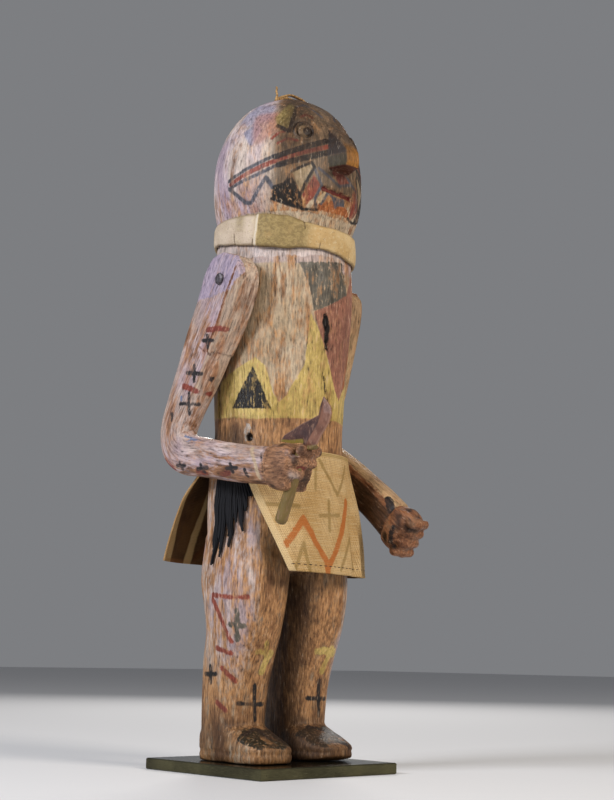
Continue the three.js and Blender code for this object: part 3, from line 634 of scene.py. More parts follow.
def paint_marks(mesh):
    """Lays out the painted marks as distances to their edges."""
    points = points_of(mesh)
    spots = turn_and_height(points)
    height = spots[:, 1]
    wood = points - (0, 0, SOLE)
    far = np.where(height > LEGS_BELOW, 0.0, 50.0)

    def lines(paths, half):
        return least(*[line(spots, on_round(p), half) for p in paths]) + far

    def areas(paths):
        return least(*[area(spots, on_round(p)) for p in paths]) + far

    def haze(paths, reach):
        return np.exp(-(np.clip(areas(paths), 0, None) / reach) ** 2)

    def strokes(paths, half):
        return least(*[line(wood, path, half) for path in paths])

    pupils, balls, rims = [], [], []
    for side in (-1, 1):
        off = spots - eye_middle(side)
        r = np.hypot(*off.T)
        arc = np.abs(r - 6.4) - 0.7 + np.where(off[:, 1] < 1.2 - 0.4 * side * off[:, 0], 3, 0)
        pupils.append(np.hypot((off[:, 0] + side * 2.5) / 1.15, off[:, 1] + 0.5) - EYE["pupil"] + far)
        balls.append(r - 4.8 + far)
        rims.append(least(np.abs(r - 4.7) - 0.3, arc) + far)
    faded_cross, *crosses = LEG_CROSSES
    mark(mesh, "black", least(
        lines(both(BROW), 1.25), lines(both(STRIPE_UP), 1.75), lines(both(STRIPE_LOW), 1.75),
        lines(both(JAW_BORDER), 0.8), lines(both(TOOTH_LINES[0]), 0.9), *pupils,
        strokes([stroke for cross in crosses for stroke in cross], 1.35),
        strokes(SHOE_LINES, 1.7)))
    mark(mesh, "soot", areas(both(JAW_BLACK) + both(BELLY_BLACK)))
    mark(mesh, "umber", least(areas([CHEST_GREY]), strokes(faded_cross, 1.6)))
    mark(mesh, "slate", least(
        lines(both(STRIPE_UP_FADED), 1.1), lines(both(STRIPE_LOW_FADED), 1.1),
        lines(both(ZIGZAG), 1.15), lines(both(BROW_OVER), 0.9), lines(TOOTH_LINES[1:], 0.85),
        areas([CHIN_GREY])))
    mark(mesh, "blue_haze", np.maximum(haze(both(HEAD_BLUE), 1.6),
                                       0.75 * haze(both(HEAD_SMUDGE), 4.0)))
    mark(mesh, "red_haze", haze(both(HEAD_RED), 3.5))
    mark(mesh, "olive_haze", haze(both(FOREHEAD_OLIVE), 1.8))
    mark(mesh, "red", least(
        lines(both(STRIPE_RED), 1.45), areas([*both(DIAMOND), UNDER_NOSE_RED, CHIN_RED]),
        lines(EYE_REDS + [mirrored(p) for p in EYE_REDS], 0.8), strokes(LEG_REDS, 1.5)))
    mark(mesh, "orange", least(areas([CHIN_ORANGE]), lines([PANEL_EDGE], 1.8)))
    mark(mesh, "deep_red", lines([MOUTH_LINE], 1.3))
    mark(mesh, "yellow", least(
        areas([BELLY_YELLOW]), strokes(LEG_YELLOWS, 2.2) + 1.6 * drift(points, (5, 5, 6), 61)))
    on_shoe = np.maximum.reduce([points[:, 1] + 13, 8 - height, height - 20,
                                 9 * (0.62 - normals_of(mesh)[:, 2])])
    mark(mesh, "shoe", on_shoe + 5.0 * drift(points, (5.5, 7, 5.5), 62) + 0.6)
    mark(mesh, "cream", areas([*both(TOOTH), CHEEK_CREAM]))
    mark(mesh, "neck_band", areas([BAND_PALE]) + 2.0 * drift(points, (7, 7, 5), 69))
    mark(mesh, "eye", least(*balls))
    mark(mesh, "panel", areas([PANEL]))
    rot = areas([ROT]) - 0.8 + 1.5 * drift(points, (2.6, 2.6, 4), 63)
    # Rot is dark wood; the hole, the cracks and the eye grooves are painted near black as painted shade in
    # the recesses.
    mark(mesh, "rot_and_recess_shade", least(rot, lines([HOLE], 2.4), lines([path for path, _, _ in SLITS], 0.8),
                               *rims))
    mark(mesh, "hip_white", lines([HIP_WHITE], 1.8))


def paint_beak(mesh):
    """Shares of the beak's colours: black and olive at its right, painted light ahead, red painted shade
    below.
    """
    points = points_of(mesh)
    height = points[:, 2] - SOLE
    beak = (np.abs(points[:, 0]) < 12.5) & (points[:, 1] < -46) & (height > 338) & (height < 374)
    beak &= points[:, 1] < trunk_front(height) - 0.5
    right = np.clip(0.5 - (points[:, 0] + 4.9) * 0.9, 0, 1)
    snout = soft_step(347.5 - height, -1.5, 1.5)
    lit = soft_step(354 - height, -4, 7)
    facing_down = soft_step(-normals_of(mesh)[:, 2], 0.35, 0.7)
    mark(mesh, "beak_black", np.where(beak, right * (1 - snout), 0))
    mark(mesh, "beak_olive", np.where(beak, right * snout, 0))
    # Gold ahead is painted warm light, stronger lower down.
    mark(mesh, "beak_painted_light", np.where(beak, (1 - right) * lit, 0))
    # Where the beak faces down it is dark red paint in painted shade.
    mark(mesh, "beak_under_red_shade", np.where(beak & (height < 343), facing_down, 0))


def paint_wear(mesh):
    """Shares of bare wood, tan and rust where rubbed, lilac painted light, painted shade and grime."""
    points = points_of(mesh)
    spots = turn_and_height(points)
    height = spots[:, 1]
    turned = np.degrees(spots[:, 0] / ROUND)
    out, back = np.abs(points[:, 0]), points[:, 1]
    legs, head = height < BELT["low"] + 2, height > 313
    side_leg = soft_step(out, 27, 37)
    belt = (soft_step(height, BELT["low"], BELT["low"] + 4)
            * soft_step(-height, -BELT["high"], -BELT["high"] + 2))
    legs_bare = 0.85 - 0.45 * side_leg - 0.25 * soft_step(back, 0, 14) * (1 - side_leg)
    legs_bare += 0.35 * soft_step(-height, -60, -40) * side_leg
    legs_bare = np.maximum(legs_bare, 1.0 * (out < 14) * (height < 108))
    bare = np.where(legs, legs_bare, 0.34 + 0.2 * soft_step(-height, -230, -200))
    bare = np.where(height > 300, 0.16, bare)
    mark(mesh, "bare", bare + (1.0 - bare) * belt)
    brown_face = soft_step(-np.abs(turned), -62, -44) * soft_step(height, 318, 324)
    mark(mesh, "tan", np.clip(brown_face + 0.6 * soft_step(height, 376, 388) + 0.25 * belt
                              + 0.55 * (height < 118) * (1 - side_leg), 0, 1))
    jaw = soft_step(-turned, -24, -14) * soft_step(turned, -62, -52) * soft_step(-height, -331, -322)
    nape = 0.6 * soft_step(np.abs(turned), 56, 64) * soft_step(-height, -340, -320)
    blotch = soft_step(drift(points, (11, 11, 44), 64) + 0.5 * drift(points, (4, 4, 14), 65),
                       0.05, 0.75)
    rust = np.where(head, np.maximum(0.9 * jaw, nape),
                    np.where(legs, 0.35 + 0.65 * blotch, 0.75 * blotch))
    mark(mesh, "rust", np.where(height < 7, 0.9, rust))
    # Lilac is painted cool light on the head's sides and the legs' outer sides, and also tints the band
    # under the collar.
    lilac_and_painted_light = 0.9 * soft_step(np.abs(turned), 48, 70) * head
    lilac_and_painted_light = np.where(legs, 0.6 * side_leg * soft_step(height, 24, 60), lilac_and_painted_light)
    mark(mesh, "lilac_and_painted_light", np.where((height > 283) & (height < 302), 0.55, lilac_and_painted_light))
    # Painted shade, with a little grime: under the arm at the hip and belt, over the face, between and low
    # on the legs, and on the crown.
    low_hip = soft_step(-height, -192, -180) * soft_step(-turned, 60, 90) * (height > 165)
    low_face = brown_face * soft_step(height, 340, 352) * soft_step(-np.abs(turned), -54, -40)
    painted_shade_and_grime = (0.75 * low_hip + 0.25 * low_face
             + 0.9 * soft_step(-out, -20, -6) * (height < 112)
             + 0.4 * soft_step(-height, -30, -16)
             + 0.5 * brown_face * soft_step(height, 322, 330)
             + 0.4 * belt * soft_step(-turned, 10, 60)
             + 0.3 * soft_step(-turned, 62, 84) * (height > 192) * (height < 240)
             + 0.3 * soft_step(-height, -60, -30) * legs
             + 0.35 * soft_step(height, 384, 394))
    mark(mesh, "painted_shade_and_grime", np.clip(painted_shade_and_grime, 0, 1))
    mark(mesh, "grain", points * MM)


def painted_wood(name, coats, grounds, woods, stains=(), tints=()):
    """Knife-cut wood under a worn pale ground, with brushed coats over it. Each coat has the
    field of its edge, two colours, how frayed its edge is in millimetres and how worn it is.
    Stains lie in the ground under the coats, and tints on top of them."""
    finish = Finish(name)
    place = finish.field("grain", "Vector")
    fibre = finish.noise(place, (1, 1, 0.15), 900, 4, 0.62)
    streak = finish.noise(place, (1, 1, 0.24), 240, 5, 0.62)
    fleck = finish.noise(place, (1, 1, 0.6), 520, 4, 0.62)
    cloud = finish.noise(place, (1, 1, 0.5), 70, 5, 0.6)
    spread = finish.noise(place, (1, 1, 0.6), 24, 3)
    wood = finish.blend(finish.span(fibre, 0.36, 0.64), colour(woods[0]), colour(woods[1]))
    wood = finish.blend(finish.span(cloud, 0.48, 0.66, 0, 0.7), wood, colour(woods[2]))
    ground = finish.blend(finish.span(cloud, 0.38, 0.62), colour(grounds[0]), colour(grounds[1]))
    ground = finish.blend(finish.span(spread, 0.46, 0.60, 0, 0.8), ground, colour(grounds[2]))
    ground = finish.blend(finish.span(finish.field("tan"), 0, 1, 0, 0.9), ground,
                          finish.blend(finish.span(streak, 0.4, 0.6), colour(grounds[5]),
                                       colour(grounds[6])))
    # The lilac in the ground is painted cool light on the side faces.
    haze = finish.combine("MULTIPLY", finish.field("lilac_and_painted_light"), finish.span(spread, 0.36, 0.56, 0.35, 1))
    ground = finish.blend(haze, ground, finish.blend(finish.span(cloud, 0.4, 0.6),
                                                     colour(grounds[3]), colour(grounds[4])))
    rust = finish.combine("MULTIPLY", finish.field("rust"), finish.span(streak, 0.36, 0.60, 0.15, 1))
    ground = finish.blend(finish.span(rust, 0, 1, 0, 0.85), ground, finish.blend(
        finish.span(fleck, 0.35, 0.65), colour(woods[3]), colour(woods[4])))
    worn = finish.combine("ADD", finish.combine("MULTIPLY", streak, 0.5),
                      finish.combine("ADD", finish.combine("MULTIPLY", cloud, 0.3),
                                 finish.combine("MULTIPLY", fleck, 0.2)))
    bareness = finish.combine("ADD", worn, finish.combine("MULTIPLY", finish.field("bare"), 0.22))
    shown = finish.span(bareness, 0.52, 0.68)
    base = finish.blend(shown, ground, wood)
    base = finish.blend(finish.span(fibre, 0.58, 0.72, 0, 0.4), base, colour(woods[0]))
    for field, ink, share in stains:
        base = finish.blend(finish.span(finish.field(field), 0, 1, 0, share), base, colour(ink))
    rubbed = finish.span(worn, 0.50, 0.60)
    chips = finish.span(finish.combine("ADD", finish.combine("MULTIPLY", fibre, 0.5),
                                   finish.combine("MULTIPLY", fleck, 0.5)), 0.54, 0.62)
    gone = finish.combine("MAXIMUM", rubbed, chips)
    rough_edge = finish.combine("SUBTRACT", fleck, 0.5)
    for field, inks, fray, wear in coats:
        edge = finish.combine("ADD", finish.field(field),
                          finish.combine("MULTIPLY", rough_edge, fray * 4.0))
        laid = finish.span(edge, 0.5, -0.5)
        laid = finish.combine("MULTIPLY", laid, finish.combine("SUBTRACT", 1.0, finish.combine(
            "MULTIPLY", gone, wear)))
        ink = finish.blend(finish.span(cloud, 0.35, 0.65), colour(inks[0]), colour(inks[1]))
        base = finish.blend(laid, base, ink)
    for field, ink, share in tints:
        base = finish.blend(finish.span(finish.field(field), 0, 1, 0, share), base, colour(ink))
    # Painted shade, with some grime, darkens the colour toward dark brown where its field is high.
    painted_shade_and_dirt = finish.combine("MULTIPLY", finish.field("painted_shade_and_grime"), finish.span(cloud, 0.3, 0.6, 0.5, 1))
    base = finish.blend(finish.span(painted_shade_and_dirt, 0, 1, 0, 0.8), base, colour("#2f2015"))
    mottle = finish.combine("ADD", finish.combine("MULTIPLY", fibre, 0.6),
                        finish.combine("MULTIPLY", fleck, 0.4))
    base = finish.blend(0.65, base, finish.span(mottle, 0.36, 0.64, 0.24, 0.74), "OVERLAY")
    base = finish.blend(finish.span(fibre, 0.28, 0.41, 0.75, 0), base, colour("#24150b"))
    # Pale flecks on the raised fibres are painted glints, a painted highlight.
    base = finish.blend(finish.span(fibre, 0.60, 0.74, 0, 0.28), base, colour("#dccdb8"))
    grain = finish.bump(fibre, 0.0004)
    grain = finish.bump(streak, 0.0005, grain)
    normal = finish.bump(fleck, 0.0003, grain)
    rough = finish.span(cloud, 0.3, 0.7, 0.36, 0.62)
    return finish.end(base, rough, normal, Specular_IOR_Level=0.24)


body = carved("figure_body_carved", [
    trunk_skin(), leg_skin(-1), leg_skin(1), foot_skin(-1), foot_skin(1), beak_skin(),
], BODY_VOXEL)
split_face(body.data)
carve_body(body)
paint_marks(body.data)
paint_beak(body.data)
paint_wear(body.data)
body.data.materials.clear()
body.data.materials.append(painted_wood(
    "painted_root",
    coats=[
        ("yellow", ("#b8a05f", "#9c8446"), 0.6, 0.6),
        ("panel", ("#8e5f4c", "#7a5042"), 0.4, 0.5),
        ("neck_band", ("#b9aaa6", "#a3948c"), 1.0, 0.5),
        ("cream", ("#a8957a", "#97805f"), 0.5, 0.5),
        ("umber", ("#5c564c", "#4a453c"), 0.6, 0.75),
        ("red", ("#844030", "#70352a"), 0.5, 0.5),
        ("orange", ("#97592f", "#854a27"), 0.8, 0.5),
        ("eye", ("#8e7557", "#7c6347"), 0.2, 0.3),
        ("slate", ("#4e4d55", "#413f43"), 0.3, 0.4),
        ("hip_white", ("#bdb3a8", "#a89e94"), 1.4, 0.8),
        ("soot", ("#151210", "#1f1814"), 0.5, 0.75),
        ("shoe", ("#24241a", "#363022"), 0.6, 0.55),
        ("black", ("#171516", "#201d1c"), 0.25, 0.3),
        ("deep_red", ("#6a1c12", "#551510"), 1.0, 0.2),
        ("rot_and_recess_shade", ("#120c0a", "#1c120d"), 0.4, 0.0),
    ],
    grounds=("#a3917a", "#b3a38c", "#8d7a60", "#9a8896", "#c0b0b4", "#544230", "#6f5842"),
    woods=("#8a6240", "#a47a50", "#62402a", "#8c5429", "#a2703e"),
    stains=[("blue_haze", "#757891", 0.75), ("red_haze", "#8f5a48", 0.6),
            ("olive_haze", "#80703f", 0.7)],
    # The beak's gold is painted light, and its dark red underside is painted shade.
    tints=[("beak_painted_light", "#a06a26", 0.9), ("beak_olive", "#39341f", 0.95),
           ("beak_black", "#120d0f", 0.97), ("beak_under_red_shade", "#4b1a12", 0.9)]))
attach(body, "root")
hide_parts("figure_body")


# The arms: each one a bent board of the same wood with a rough fist at its end, painted on its
# own and hung on a nail at the shoulder. The right one holds the knife.

# Each row has how far back the arm's middle is, its height, half its depth and how far out it is.
ARM_RIGHT = [
    [-16.0, 285.5, 9.5, 47.4], [-14.0, 280, 17.6, 47.4], [-10.2, 269, 21.0, 47.4],
    [-3.4, 254, 20.2, 47.6], [5.4, 238, 18.6, 48.2], [13.6, 221, 16.8, 49.2],
    [22.6, 204, 15.0, 50.4], [28.2, 190, 13.8, 51.6], [26.8, 179, 12.6, 52.2],
    [17.8, 172.4, 11.8, 52.3], [4.0, 169.6, 11.4, 52.0], [-12.0, 166.4, 11.0, 51.2],
    [-29.4, 163.2, 10.8, 50.0], [-44.6, 161.0, 10.6, 48.4], [-52.0, 160.0, 10.4, 47.4],
]
ARM_LEFT = [
    [-7.5, 283.5, 7.0, 47.4], [-6.0, 279, 12.5, 47.4], [-3.5, 269, 14.8, 47.4],
    [0.5, 254, 15.0, 47.6], [6.0, 238, 14.8, 48.4], [12.6, 221, 14.8, 49.6],
    [20.0, 204, 14.0, 50.8], [23.4, 191, 13.0, 51.6], [17.0, 181.5, 12.0, 52.0],
    [6.6, 176.2, 11.2, 52.0], [-7.4, 167.8, 11.0, 51.6], [-21.4, 158.4, 11.2, 51.0],
    [-35.0, 149.0, 11.6, 50.0], [-46.0, 140.8, 11.8, 49.0], [-50.5, 137.2, 12.0, 48.6],
]
ARM_THICK = [[0, 4.6], [2, 6.1], [7, 6.4], [10, 7.4], [14, 7.8]]
FIST = [[-4, 9.4, 7.2], [0, 10.6, 8.4], [5, 12.2, 10.4], [12, 13.0, 11.4], [19, 12.6, 11.2],
        [25, 10.6, 9.8]]
FINGERS, FINGER_HALF, FINGER_REACH, FINGER_LONG = 4, 3.9, 26.5, 7.6
FINGER_OVERLAP = 0.82
THUMB = {"root": 8, "root_in": 7, "root_up": 9, "reach": 0.86, "tip_in": 5, "tip_up": 11.2,
         "half": 3.3}
ARM_RINGS, ARM_SIDES, PALM_RINGS, PALM_SIDES = 120, 64, 20, 48
ARM_VOXEL, ARM_GAP = 0.9, 0.3
NAIL = {"back": -8.4, "height": 272.0, "out": 53.8}


def arm_at(stations, side, place):
    """The middle, heading, upward direction, half depth and half thickness along an arm."""
    rows = [[i, *row] for i, row in enumerate(stations)]
    last = len(stations) - 1

    def spot(p):
        return np.array([side * along(rows, p, 4), along(rows, p, 1), SOLE + along(rows, p, 2)])

    run = spot(min(place + 0.05, last)) - spot(max(place - 0.05, 0))
    heading = run / np.linalg.norm(run)
    over = np.cross(heading, X)
    over /= np.linalg.norm(over)
    return spot(place), heading, over, along(rows, place, 3), along(ARM_THICK, place, 1)


def arm_skin(stations, side):
    rings = []
    for place in np.linspace(0, len(stations) - 1, ARM_RINGS):
        middle, _, over, half, thick = arm_at(stations, side, place)
        power = 3.0 + 2.2 * soft_step(6.5 - place, 0, 2.5)
        rings.append(ring(middle, X, over, thick, half, power, ARM_SIDES))
    return loft(rings)


def knob(start, end, half):
    """A round-ended finger between two points."""
    start, end = np.array(start, float), np.array(end, float)
    run = end - start
    heading = run / np.linalg.norm(run)
    side = np.cross(heading, Z if abs(heading[2]) < 0.9 else Y)
    side /= np.linalg.norm(side)
    over = np.cross(side, heading)
    rings = []
    for angle in np.linspace(-math.pi / 2 + 0.12, math.pi / 2 - 0.12, 13):
        reach = math.sin(angle)
        centre = (start + end) / 2 + run / 2 * np.sign(reach) * (abs(reach) > 0.5)
        centre = centre + heading * half * reach
        size = half * math.cos(angle)
        rings.append(ring(centre, side, over, size, size, 2, 20))
    return loft(rings)


def fist_skins(stations, side, length, lean):
    middle, heading, over, _, _ = arm_at(stations, side, len(stations) - 1)
    palm = loft([ring(middle + heading * past * length, X, over, along(FIST, past, 2),
                      along(FIST, past, 1), 2.6, PALM_SIDES)
                 for past in np.linspace(FIST[0][0], FIST[-1][0], PALM_RINGS)])
    parts = [palm]
    for i in range(FINGERS):
        rise = (i - (FINGERS - 1) / 2) * 2 * FINGER_HALF * FINGER_OVERLAP
        centre = middle + heading * (FINGER_REACH * length + lean * rise) + over * rise
        bend = heading * (0.8 if i % 2 else -0.4)
        parts.append(knob(centre - X * FINGER_LONG * 0.62 + bend, centre + X * FINGER_LONG * 0.62,
                          FINGER_HALF))
    root = (middle + heading * THUMB["root"] * length - X * side * THUMB["root_in"]
            + over * THUMB["root_up"])
    tip = (middle + heading * FINGER_REACH * length * THUMB["reach"] - X * side * THUMB["tip_in"]
           + over * THUMB["tip_up"])
    parts.append(knob(root, tip, THUMB["half"]))
    return parts


FACET = {"wide": 11.0, "deep": 6.8, "edge": 5.2, "end": 216}


def arm_run(points, stations, side):
    """Where points lie on an arm, as across, over and along, for a grain that follows it."""
    places = np.linspace(0, len(stations) - 1, 160)
    rows = [arm_at(stations, side, p) for p in places]
    middles = np.array([row[0] for row in rows])
    steps = np.r_[0, np.cumsum(np.linalg.norm(np.diff(middles, axis=0), axis=1))]
    nearest = np.empty(len(points), int)
    for start in range(0, len(points), 4000):
        some = points[start:start + 4000]
        gap = np.linalg.norm(some[:, None, 1:] - middles[None, :, 1:], axis=2)
        nearest[start:start + 4000] = gap.argmin(axis=1)
    heading = np.array([row[1] for row in rows])[nearest]
    over = np.array([row[2] for row in rows])[nearest]
    off = points - middles[nearest]
    past = steps[nearest] + np.einsum("ij,ij->i", off, heading)
    half = np.array([row[3] for row in rows])[nearest]
    across_over = np.stack([off[:, 0], np.einsum("ij,ij->i", off, over), past], axis=1)
    return across_over, steps[-1], half, over


def pare_front(points, stations, side):
    """Pares the outer front corner of the upper arm to a flat facet with a crisp ridge."""
    run, _, half, over = arm_run(points, stations, side)
    slope = np.array([FACET["deep"], FACET["wide"]])
    slope = slope / np.linalg.norm(slope)
    out = side * run[:, 0]
    limit = slope[0] * (FACET["edge"] - FACET["wide"]) + slope[1] * half
    spare = np.clip(slope[0] * out + slope[1] * run[:, 1] - limit, 0, None)
    spare *= soft_step(points[:, 2] - SOLE, FACET["end"], FACET["end"] + 16)
    points = points - over * (spare * slope[1])[:, None]
    points[:, 0] -= side * spare * slope[0]
    return points


RIGHT_REDS = [
    [(-54.1, 1, 243.2), (-53.6, -10, 242.6), (-50.4, -18, 240.2)],
    [(-56, 20, 212.4), (-55.3, 9, 208.2), (-49.6, 3, 206.4)],
    [(-58, -19, 157), (-56, -26, 158)], [(-57, 33, 170), (-57.5, 24, 164)],
    [(-58.2, 2, 160), (-58, -6, 158.6)]]
RIGHT_CROSSES = [
    [[(-54.3, 1, 240), (-54.5, 0, 233)], [(-54.4, 4.6, 237.4), (-54, -4.4, 236.2)]],
    [[(-55.2, 11.8, 223.6), (-55.6, 10.8, 214.2)], [(-55.5, 17.6, 220), (-54.9, 4.6, 217.8)]],
    [[(-52.4, -0.4, 216.4), (-51.6, -1.6, 212.6)], [(-53, 2, 214.4), (-51, -3.6, 214.2)]],
    [[(-56.2, 14.6, 207.4), (-55.8, 14.2, 195.4)], [(-56.7, 21.8, 202), (-53.6, 8.4, 200.6)]],
    [[(-58.6, 17, 167), (-58.6, 15, 163)], [(-58.6, 20, 165.4), (-58.6, 12, 165)]],
    [[(-58.4, -2, 164.5), (-58.4, -5, 159.6)], [(-58.5, 1, 162), (-58.4, -8, 161.8)]],
    [[(-57.6, -27, 162.4), (-57.4, -29, 157.6)], [(-57.6, -24, 160.2), (-57.4, -32, 159.8)]],
    [[(-56.2, -38, 158.4), (-56, -40, 154)]], [[(-57.4, 28.6, 197), (-57.5, 28, 193)]]]
RIGHT_BLUE = [[(-57, 15, 182), (-58, 1, 178)], [(-58.2, 12, 178.6), (-57, 4, 181.6)],
              [(-56.4, 21.6, 206), (-56.4, 21, 204)]]
RIGHT_SLEEVE = [(-55.4, 7, 234), (-55.2, 2, 229.6), (-54.4, -3, 227.8), (-50, -9, 229.4)]
RIGHT_RIDGE = [(-54, -24, 281), (-54.4, -4.4, 241), (-55, 1, 230)]
RIGHT_CAP = [(-40, 295), (20, 295), (14, 262), (-18, 264), (-26, 272)]
RIGHT_WRIST = [(-51.7, -49.3, 170.3), (-56.5, -51, 162), (-55.5, -53, 151.4)]
RIGHT_STRAP = [(-54.9, -42, 170), (-56.6, -46, 162), (-54.6, -48.4, 152)]
RIGHT_FIST_RED = [(-50.1, -72.4, 158.5), (-44.1, -75, 156)]
LEFT_MARKS = [[(43, -50, 150), (42, -54, 144)], [(56, -44, 148), (56, -48, 142)]]
LEFT_WRIST = [(37.5, -57, 124), (38, -60, 132), (43, -64, 140), (52, -62, 143), (58, -58, 134)]


def make_arm(name, stations, side, length, lean):
    """Carves an arm with its fist. Only the right one is pared in front and has a sleeve's step."""
    parts = [arm_skin(stations, side), *fist_skins(stations, side, length, lean)]
    arm = carved(name, parts, ARM_VOXEL)
    mesh = arm.data
    if side < 0:
        move_to(mesh, pare_front(points_of(mesh), stations, side))
    points, normals = points_of(mesh), normals_of(mesh)
    run, wrist = arm_run(points, stations, side)[:2]
    depth = 0.34 * drift(run, (11, 11, 34), 6 + side) + 0.14 * drift(run, (4, 4, 22), 9)
    palm = soft_step(run[:, 2], wrist - 4, wrist + 4)
    hollows = palm * drift(points, (5.5, 5.5, 5.5), 12)
    depth += (0.2 if side < 0 else 0.55) * hollows
    # The fist's dents are tinted dark as painted shade in its hollows.
    mark(mesh, "cavity_shade", np.clip(-1.4 * hollows - 0.15, 0, 1))
    depth -= 0.9 * band_at(run[:, 2], wrist, 0.9)
    if side < 0:
        depth += sleeve_step(points)
    moved = points + normals * depth[:, None]
    seat = (moved[:, 2] > SOLE + ARM_SEAT["low"] - 6) & (moved[:, 2] < SOLE + ARM_SEAT["high"])
    moved[seat, 0] = side * np.maximum(side * moved[seat, 0], ARM_SEAT["out"] + ARM_GAP)
    move_to(mesh, moved)
    run = arm_run(points_of(mesh), stations, side)[0]
    mark(mesh, "grain", run * MM)
    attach(arm, "root")
    return arm


def sleeve_step(points):
    """The step where the upper arm's sleeve ends, low on its front edge."""
    edge = 229 + 0.22 * (points[:, 1] + 4)
    upper = soft_step(points[:, 2] - SOLE, edge - 0.7, edge + 0.7)
    near = soft_step(-points[:, 1], -14, -4) * soft_step(points[:, 2] - SOLE, 200, 226)
    return 0.75 * upper * near - 0.45 * near


def paint_right_arm(mesh):
    """Lays out the right arm's marks as distances to their edges, and wear, painted light and shade as
    shares.
    """
    points = points_of(mesh) - (0, 0, SOLE)
    out, back, height = points.T
    sleeve_edge = -24 + 0.49 * (281 - height)
    front_face = np.maximum(soft_step(out, -51.5, -48.5), soft_step(sleeve_edge - back, -1.0, 1.0))
    mark(mesh, "red", least(*[line(points, path, 1.7) for path in RIGHT_REDS],
                            line(points, RIGHT_FIST_RED, 1.4)))
    mark(mesh, "black", least(*[line(points, s, 1.25) for cross in RIGHT_CROSSES for s in cross],
                              line(points, RIGHT_WRIST, 0.9)))
    mark(mesh, "slate", least(*[line(points, stroke, 0.8) for stroke in RIGHT_BLUE]))
    mark(mesh, "strap", line(points, RIGHT_STRAP, 1.2))
    mark(mesh, "rim", line(points, RIGHT_SLEEVE, 0.8))
    mark(mesh, "ridge", line(points, RIGHT_RIDGE, 0.9))
    mark(mesh, "cap", np.where(out < -50, area(points[:, 1:], RIGHT_CAP), 20))
    mark(mesh, "tips", 0.9 * soft_step(-back, 68.5, 72) * soft_step(-height, -158, -150)
         * soft_step(-out, 44, 50))
    blotch = soft_step(drift(points, (9, 9, 26), 66) + 0.5 * drift(points, (4, 4, 9), 67), 0.1, 0.7)
    mark(mesh, "rust", np.clip(0.75 * blotch + 0.3 * (height < 162), 0, 1))
    # Lilac on all but the front face is painted cool light on the arm's outer face.
    mark(mesh, "lilac_and_painted_light", np.clip(1 - 1.1 * front_face * soft_step(height, 190, 215)
                                - 0.5 * (back < -50), 0, 1))
    mark(mesh, "bare", 0.3 + 0.55 * (back < -52) + 0.3 * (height < 162))
    mark(mesh, "tan", 0.25 + 0.5 * (back < -50) + 0.3 * (height < 160))
    # Darker low down as painted shade, with grime in patches.
    mark(mesh, "painted_shade_and_grime", 0.25 * (height < 158)
         + 0.2 * soft_step(drift(points, (16, 16, 30), 51), 0.1, 0.7))


def paint_left_arm(mesh):
    """Lays out the left arm's marks and wear: painted highlight on its front edge, painted shade on its
    face.
    """
    points = points_of(mesh)
    wood = points - (0, 0, SOLE)
    run, wrist = arm_run(points, ARM_LEFT, 1)[:2]
    before_wrist = run[:, 2] < wrist
    mark(mesh, "black", least(*[line(wood, path, 2.6) for path in LEFT_MARKS],
                              line(wood, LEFT_WRIST, 1.8)))
    # The pale edge is a painted highlight where the top of the arm is lit.
    mark(mesh, "edge", 3.2 - np.where(before_wrist, run[:, 1] - 5.5, 0))
    mark(mesh, "lilac_and_painted_light", np.zeros(len(points)))
    mark(mesh, "tan", np.full(len(points), 0.6))
    mark(mesh, "bare", 0.75 + 0.15 * drift(wood, (20, 20, 20), 15))
    mark(mesh, "rust", soft_step(drift(wood, (9, 9, 12), 68), -0.1, 0.6))
    # The arm's face below its edge is darkened as painted shade.
    mark(mesh, "painted_shade_and_grime", 0.8 * (run[:, 1] < 5.5) * before_wrist + 0.2)


arm_right = make_arm("arm_right_carved", ARM_RIGHT, -1, 0.735, 0.42)
paint_right_arm(arm_right.data)
arm_right.data.materials.clear()
arm_right.data.materials.append(painted_wood(
    "painted_arm_right",
    coats=[
        ("cap", ("#8f8193", "#9f909c"), 1.2, 0.5),
        ("ridge", ("#7a4c30", "#5f3a26"), 1.0, 0.6),
        ("rim", ("#5e3226", "#4a281e"), 0.6, 0.3),
        ("red", ("#7c3c31", "#6a332b"), 0.5, 0.45),
        ("strap", ("#b59f84", "#a68f76"), 0.4, 0.3),
        ("slate", ("#6d7690", "#5f6880"), 0.6, 0.5),
        ("black", ("#1e1b1d", "#2a2628"), 0.35, 0.35),
    ],
    grounds=("#a18c7a", "#b5a28e", "#8c7263", "#98848c", "#bdaaac", "#6c5040", "#846550"),
    woods=("#7d5840", "#946c4e", "#583826", "#80492a", "#976540"),
    # The cavity tint is painted shade in the fist's dents.
    tints=[("cavity_shade", "#2a180f", 0.8), ("tips", "#bcaaa0", 0.75)]))
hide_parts("arm_right")

arm_left = make_arm("arm_left_carved", ARM_LEFT, 1, 0.62, 0.0)
paint_left_arm(arm_left.data)
arm_left.data.materials.clear()
arm_left.data.materials.append(painted_wood(
    "painted_arm_left",
    coats=[
        # The edge coat is a painted highlight along the lit front edge.
        ("edge", ("#a68863", "#96795a"), 1.2, 0.4),
        ("black", ("#171315", "#221b1a"), 0.8, 0.25),
    ],
    grounds=("#8a6850", "#7c5540", "#6d4534", "#a08c94", "#b39a98", "#7c5c43", "#8d6b4e"),
    woods=("#6c432c", "#86593a", "#462818", "#8a4e24", "#a0683a"),
    # The cavity tint is painted shade in the fist's dents.
    tints=[("cavity_shade", "#160d09", 0.95)]))
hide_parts("arm_left")


# The nails: two short iron nails with round heads, struck by hand. Each is driven through an
# arm into the shoulder and holds it there, and its head stands just proud of the wood.
HEAD_DIAMETER, HEAD_THICK, SHANK_DIAMETER, NAIL_LONG, NAIL_SIDES = 6.7, 1.5, 2.9, 30, 40


